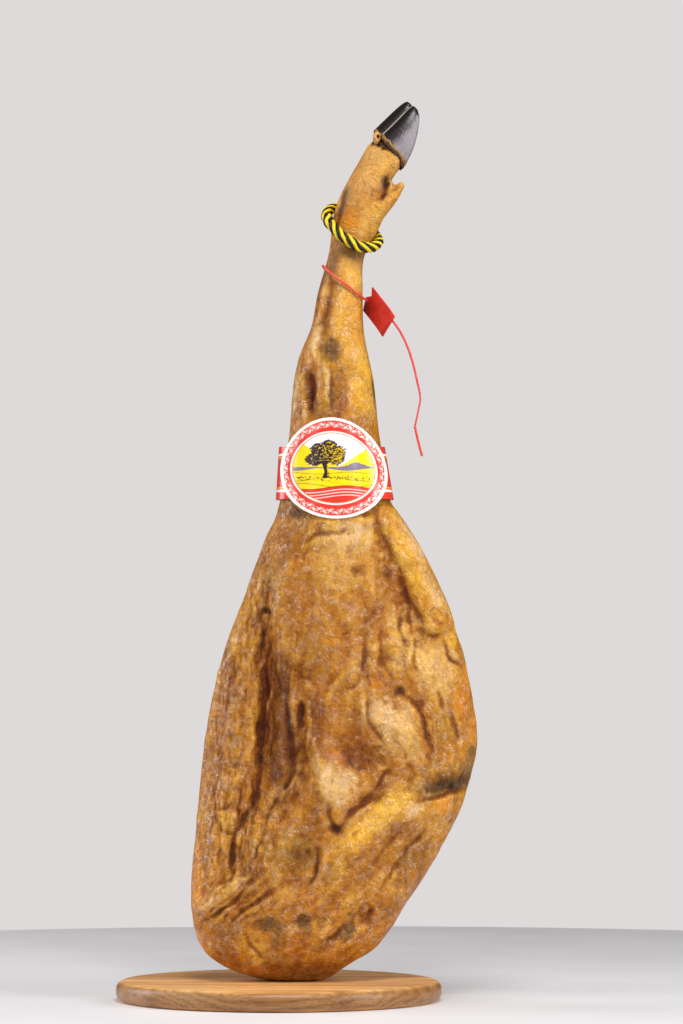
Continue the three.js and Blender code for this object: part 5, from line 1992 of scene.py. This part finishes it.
@dataclass
class Page:
    """A printed sheet: layers of ink are laid on it one over the other, with slightly soft edges.

    Args:
        x: how far across each point is from the label's middle, in mm.
        up: how far above it, in mm.
        ground: the colour that the sheet starts with.
        soft: how wide the ink's edges are, in mm.
        frame: how far outside a frame each point is, in mm: ink is laid only inside it.
    """

    x: Array
    up: Array
    ground: str
    soft: float = 0.4
    frame: Array | float = -math.inf

    def __post_init__(self) -> None:
        """Covers the sheet with its ground colour."""
        self.colours = np.tile(linear(self.ground)[:3], (len(self.x), 1))

    def oval(self, x: float, up: float, wide: float, high: float) -> Array:
        """Roughly how far outside an oval each point is, in mm, and below zero inside it."""
        return (np.hypot((self.x - x) / wide, (self.up - up) / high) - 1) * min(wide, high)

    def lay(self, colour: str, outside: Array) -> None:
        """Lays a colour wherever the distance outside its shape is below zero."""
        cover = np.clip(0.5 - np.maximum(self.frame, outside) / self.soft, 0, 1)[:, None]
        self.colours = self.colours * (1 - cover) + np.array(linear(colour)[:3]) * cover


@dataclass
class Sleeve:
    """The printed paper sleeve: a band round the leg whose front widens to an oval label."""

    # The band's middle, and how far it reaches to each side, to the front and to the back, in mm
    centre: tuple[float, float, float] = (52.7, 0.5, 490.0)
    half_width: float = 53.5
    front: float = 40.5
    back: float = 43.5
    # How square the band is from above: 2 would be an ellipse
    power: float = 2.6
    band_height: float = 51.0
    oval_centre: Place = (53.3, 494.0)
    oval_size: Place = (51.3, 48.8)
    # How much wider, further right and further forward the band is for each mm below its middle
    widening: float = 0.114
    shift: float = 0.054
    forward: float = 0.08
    # How thick the paper is drawn, in mm
    paper: float = 0.8
    # The garland's half width and half height, in mm, and its leaves to each side
    garland_size: Place = (46.6, 42.0)
    leaves: int = 30
    front_points: int = 330
    back_points: int = 40
    rows: int = 220
    inner_rows: int = 6
    red: str = "#DE3A2F"
    white: str = "#FBF2EC"
    pink: str = "#FAD9CF"
    sky: str = "#F7EEF3"
    yellow: str = "#F7DB12"
    gold: str = "#E2BC12"
    dark: str = "#33262C"
    slate: str = "#84798C"
    finish: CoatedPaper = CoatedPaper()

    def place(self, angle: Array, height: Array, offset: Array) -> Array:
        """Points of the sleeve in mm, where angle 0 is the right edge and 270 degrees the front."""
        down = self.centre[2] - height
        across = np.sign(np.cos(angle)) * np.abs(np.cos(angle)) ** (2 / self.power)
        back = np.sign(np.sin(angle)) * np.abs(np.sin(angle)) ** (2 / self.power)
        half_width = self.half_width + self.widening * down + offset
        depth = offset + np.where(back < 0, self.front + self.forward * down, self.back)
        x = self.centre[0] + self.shift * down + across * half_width
        return np.stack([x, self.centre[1] + back * depth, height], axis=-1)

    def middle(self, angle: Array) -> Array:
        """Points of the sleeve at the height of its centre."""
        return self.place(angle, np.full_like(angle, self.centre[2]), np.zeros_like(angle))

    def span(self, angle: Array) -> tuple[Array, Array]:
        """The heights between which the sleeve runs at an angle."""
        middle = self.middle(angle)
        share = np.clip(np.abs(middle[..., 0] - self.oval_centre[0]) / self.oval_size[0], 0, 1)
        oval = np.where(middle[..., 1] < 0, self.oval_size[1] * np.sqrt(1 - share**2), 0)
        half = self.band_height / 2
        low = np.minimum(self.oval_centre[1] - oval, self.centre[2] - half)
        high = np.maximum(self.oval_centre[1] + oval, self.centre[2] + half)
        return low, high

    def build(self, nodes: dict) -> Object:
        """Builds the sleeve in place of its solid.

        Args:
            nodes: the solids by name.

        Returns:
            The piece.
        """
        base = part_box("ham")[0].z / MM
        front = np.pi + np.pi * np.arange(self.front_points) / self.front_points
        back = np.pi * np.arange(self.back_points) / self.back_points
        angles = np.concatenate([back, front])
        low, high = self.span(angles)
        rings = []
        for rows, outside in ((self.rows, True), (self.inner_rows, False)):
            share = np.linspace(0, 1, rows + 1)
            share = share if outside else share[::-1]
            heights = low[:, None] + (high - low)[:, None] * share[None, :]
            offset = np.full_like(heights, self.paper if outside else 0.0)
            rings.append(self.place(angles[:, None] + 0 * heights, heights, offset))
        grid = np.concatenate(rings, axis=1)
        points = grid.reshape(-1, 3)
        flat = np.repeat(self.middle(angles)[:, 0], grid.shape[1])
        outer = np.tile(np.arange(grid.shape[1]) <= self.rows, len(angles))
        label = outer & (points[:, 1] < 0) & (self.oval_share(flat, points[:, 2]) < 1)
        raised = points + [0.0, 0.0, base]
        raised[:, 1] -= np.where(label, 0.35, 0.0)
        piece = self.mesh("paper_sleeve", raised * MM, len(angles), grid.shape[1])
        give_colours(piece, "print", self.ink(points, flat, outer))
        piece.data.materials.append(self.finish.material())
        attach(piece, "root")
        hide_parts("label_sleeve")
        log.info("paper sleeve")
        return piece

    def mesh(self, name: str, points: Array, columns: int, count: int) -> Object:
        """Joins the columns of points into a closed shell."""
        column = np.arange(columns)[:, None] * count
        after = ((np.arange(columns) + 1) % columns)[:, None] * count
        up = (np.arange(count) + 1) % count
        here = np.arange(count)
        faces = np.stack([column + here, after + here, after + up, column + up], axis=-1).reshape(-1, 4)
        piece = new_piece(name, points, faces.tolist())
        bpy.ops.object.shade_smooth_by_angle(angle=math.radians(40))
        return piece

    def oval_share(self, across: Array, height: Array) -> Array:
        """How far places are from the oval's middle, 1 being its edge."""
        beside = (across - self.oval_centre[0]) / self.oval_size[0]
        return np.hypot(beside, (height - self.oval_centre[1]) / self.oval_size[1])

    def ink(self, points: Array, flat: Array, outer: Array) -> Array:
        """The printed colours: the striped band, the label's rims and garland, and its landscape.

        Args:
            points: the places, in mm.
            flat: how far across each point's column is at the sleeve's middle height, in mm.
            outer: whether each point is on the printed side.

        Returns:
            One colour for each point.
        """
        page = Page(flat - self.oval_centre[0], points[:, 2] - self.oval_centre[1], self.red)
        from_middle = np.abs(points[:, 2] - self.centre[2])
        half = self.band_height / 2
        page.lay(self.white, np.abs(from_middle - half + 8.1) - 1.1)
        page.lay(self.gold, np.abs(from_middle - half + 11.0) - 0.55)
        band = page.colours.copy()
        rim = (self.oval_share(flat, points[:, 2]) - 1) * 50
        page.lay(self.white, rim - 2)
        page.lay(self.red, rim + 2.9)
        self.garland(page)
        inner = page.oval(0, 0, 41.6, 35.6)
        page.lay(self.white, inner)
        page.lay(self.red, inner + 1.5)
        page.lay(self.yellow, inner + 2.1)
        page.frame = inner + 2.3
        self.landscape(page)
        label = outer & (points[:, 1] < 0) & (rim < 0)
        colours = np.where(label[:, None], page.colours, band)
        colours[~outer] = linear(self.white)[:3]
        return colours

    def garland(self, page: Page) -> None:
        """A thin wavy stem round the red rim, with slim leaves to both sides and small buds."""
        half, high = self.garland_size
        radius = (half + high) / 2
        along = np.arctan2(page.up / high, page.x / half) * radius
        off = (np.hypot(page.x / half, page.up / high) - 1) * radius
        pitch = 2 * math.pi * radius / self.leaves
        page.lay(self.pink, np.abs(off - 0.5 * np.sin(2 * np.pi * along / (2 * pitch))) - 0.24)
        for shift, side in ((0.0, 1), (0.5, -1)):
            u = (along / pitch + shift) % 1 * pitch - pitch / 2
            v = (off - side * 1.35) * side
            turn = math.radians(38)
            long = u * math.cos(turn) + v * math.sin(turn)
            wide = v * math.cos(turn) - u * math.sin(turn)
            slim = 0.85 * np.clip(1.2 - long / 4, 0.3, 2)
            page.lay(self.pink, (np.hypot(long / 2.3, wide / slim) - 1) * 0.9)
            bud = np.hypot(u + 3.1 * np.sign(-u), v - 0.4)
            page.lay(self.pink, bud - 0.55)

    def landscape(self, page: Page) -> None:
        """The label's picture: an old oak on a yellow plain under a white sky, with hills and furrows."""
        x, up = page.x, page.up
        grain = Grain(7)
        flat = np.stack([x, up, 0 * x], axis=1)
        fine = grain.layers(flat / 2.0, 2, 0.7)
        page.lay(self.sky, (1.5 + 0.62 * np.abs(x - 6) - up) * 0.8)
        page.lay(self.slate, up - 1 - 4.5 * np.exp(-(((x - 22) / 9) ** 2)) + 0.5 * fine)
        page.lay(self.yellow, up + 1.5 + 1.2 * np.sin(x / 8))
        for row in range(5):
            drop = -5 - 3.0 * row
            rows = np.abs(up - drop - (1.0 + 0.3 * row) * np.sin(x / (9 + row) + row)) - 0.22 - 0.12 * fine
            page.lay(self.gold if row % 2 else self.dark, rows)
        crown = np.full(len(x), np.inf)
        left = ((-9, 13, 13, 9), (-19, 8, 8, 6), (-14, 18, 8, 6))
        right = ((2, 10, 9, 7), (-4, 21, 9, 6), (6, 16, 7, 5))
        for cx, cy, rx, ry in left + right:
            crown = np.minimum(crown, (np.hypot((x - cx) / rx, (up - cy) / ry) - 1) * min(rx, ry))
        crown = crown + 1.6 * fine
        page.lay(self.dark, crown)
        lit = np.maximum(crown + 1.0, 0.28 - fine - 0.02 * (x + 8))
        page.lay(self.gold, lit * 1.5)
        trunk = np.abs(x + 7 + 0.15 * np.abs(up + 4)) - 2.1 - 0.03 * (up + 2) ** 2
        trunk = np.maximum(np.maximum(trunk, up - 7), -9.5 - up)
        page.lay(self.dark, trunk)
        bark = np.maximum(np.abs(x + 5.6) - 0.5 + 0.6 * fine, np.maximum(up - 4, -8 - up))
        page.lay(self.gold, bark)
        tufts = np.maximum(np.abs(up + 10 - 0.8 * np.sin(x / 5)) - 1.9, 0.3 - fine)
        page.lay(self.dark, tufts * 1.5)
        soil = up + 19 - 1.8 * np.sin(x / 11 + 0.6)
        page.lay(self.dark, soil - 0.5)
        page.lay(self.red, soil)
        for row in (3.2, 6.0, 8.8):
            page.lay(self.pink, np.abs(soil + row) - 0.42)


@dataclass
class Board:
    """The round hardwood board under the ham."""

    sides: int = 160
    edge: float = 8 * MM
    wood: Wood = Wood()

    def build(self) -> Object:
        """Builds the board in place of its solid."""
        low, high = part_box("board")
        deselect_all()
        bpy.ops.mesh.primitive_cylinder_add(
            vertices=self.sides,
            radius=(high.x - low.x) / 2,
            depth=high.z - low.z,
            location=(low + high) / 2,
            end_fill_type="NGON",
        )
        piece = settle(bpy.context.object, "round_board")
        bpy.ops.object.mode_set(mode="EDIT")
        bpy.ops.mesh.select_all(action="DESELECT")
        bpy.ops.object.mode_set(mode="OBJECT")
        for edge in piece.data.edges:
            a, b = (piece.data.vertices[v].co for v in edge.vertices)
            edge.select = abs(a.z - b.z) < 1e-6
        bpy.ops.object.mode_set(mode="EDIT")
        bpy.ops.mesh.bevel(offset=self.edge, segments=8, affect="EDGES")
        bpy.ops.object.mode_set(mode="OBJECT")
        # The rounded side is painted darker in the wood's material: partly its end grain, partly painted
        # shade
        reach = np.hypot(*points_of(piece)[:, :2].T)
        give_values(piece, "side", smoothstep(reach.max() - 6 * MM, reach.max() - 1 * MM, reach))
        piece.data.materials.append(self.wood.material())
        only(piece)
        bpy.ops.object.shade_smooth_by_angle(angle=math.radians(30))
        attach(piece, "root")
        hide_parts("board")
        log.info("board")
        return piece


@dataclass
class Studio:
    """The white table top, the pale grey room behind it and the soft lights."""

    table_radius: float = 1.12
    room: str = "#DEDADA"
    # How brightly the room shows behind the object, and how brightly it lights it
    seen: float = 1.0
    shed: float = 0.14
    # What the lamps look at
    aim: tuple[float, float, float] = (0.06, 0.0, 0.4)
    table: Tabletop = Tabletop()

    def build(self) -> None:
        """Adds the table, the room's light and the lamps."""
        deselect_all()
        place = (0.06, 0, -0.0152)
        radius = self.table_radius
        bpy.ops.mesh.primitive_cylinder_add(vertices=128, radius=radius, depth=0.03, location=place)
        floor = settle(bpy.context.object, "table_top")
        floor.data.materials.append(self.table.material())
        self.light_room()
        self.lamp("left_softbox", (-1.75, -0.95, 0.95), (0.8, 1.5), 13.0)
        self.lamp("right_softbox", (1.85, -0.85, 0.95), (0.8, 1.5), 31.0)
        self.lamp("left_rim", (-1.6, 0.65, 0.75), (0.8, 1.2), 16.0)
        self.lamp("front_left_lamp", (-0.9, -2.5, 1.35), (0.3, 0.3), 5.0)
        self.lamp("front_right_lamp", (1.0, -2.5, 1.35), (0.3, 0.3), 5.5)
        self.lamp("top_softbox", (0.15, -1.2, 2.2), (1.0, 0.7), 38.0)
        bpy.context.scene.view_settings.view_transform = "Standard"

    def light_room(self) -> None:
        """Makes the room's pale grey, dimmer for the light that it sheds than as it is seen."""
        world = bpy.data.worlds.new("pale_room")
        bpy.context.scene.world = world
        world.use_nodes = True
        tree = world.node_tree
        direct = add_node(tree, "ShaderNodeLightPath").outputs["Is Camera Ray"]
        more = {0: direct, 1: self.seen - self.shed, 2: self.shed}
        strength = add_node(tree, "ShaderNodeMath", {"operation": "MULTIPLY_ADD"}, more).outputs["Value"]
        feed(tree, tree.nodes["Background"], {"Color": self.room, "Strength": strength})

    def lamp(self, name: str, place: tuple, size: tuple, power: float) -> None:
        """Adds a soft box that looks at the ham's middle."""
        data = bpy.data.lights.new(name, "AREA")
        data.shape = "RECTANGLE"
        data.size, data.size_y = size
        data.energy = power
        lamp = bpy.data.objects.new(name, data)
        lamp.location = place
        lamp.rotation_euler = (Vector(self.aim) - Vector(place)).to_track_quat("-Z", "Y").to_euler()
        bpy.context.collection.objects.link(lamp)


def main() -> None:
    """Builds every piece round the frame."""
    logging.basicConfig(level=logging.INFO, format="%(message)s")
    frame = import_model()
    nodes = frame["nodes"]
    PhotoCamera().build()
    RopeLoop().build(nodes)
    Seal().build(nodes)
    Ham().build(nodes)
    Claws().build()
    Sleeve().build(nodes)
    Board().build()
    Studio().build()


if __name__ == "__main__":
    main()
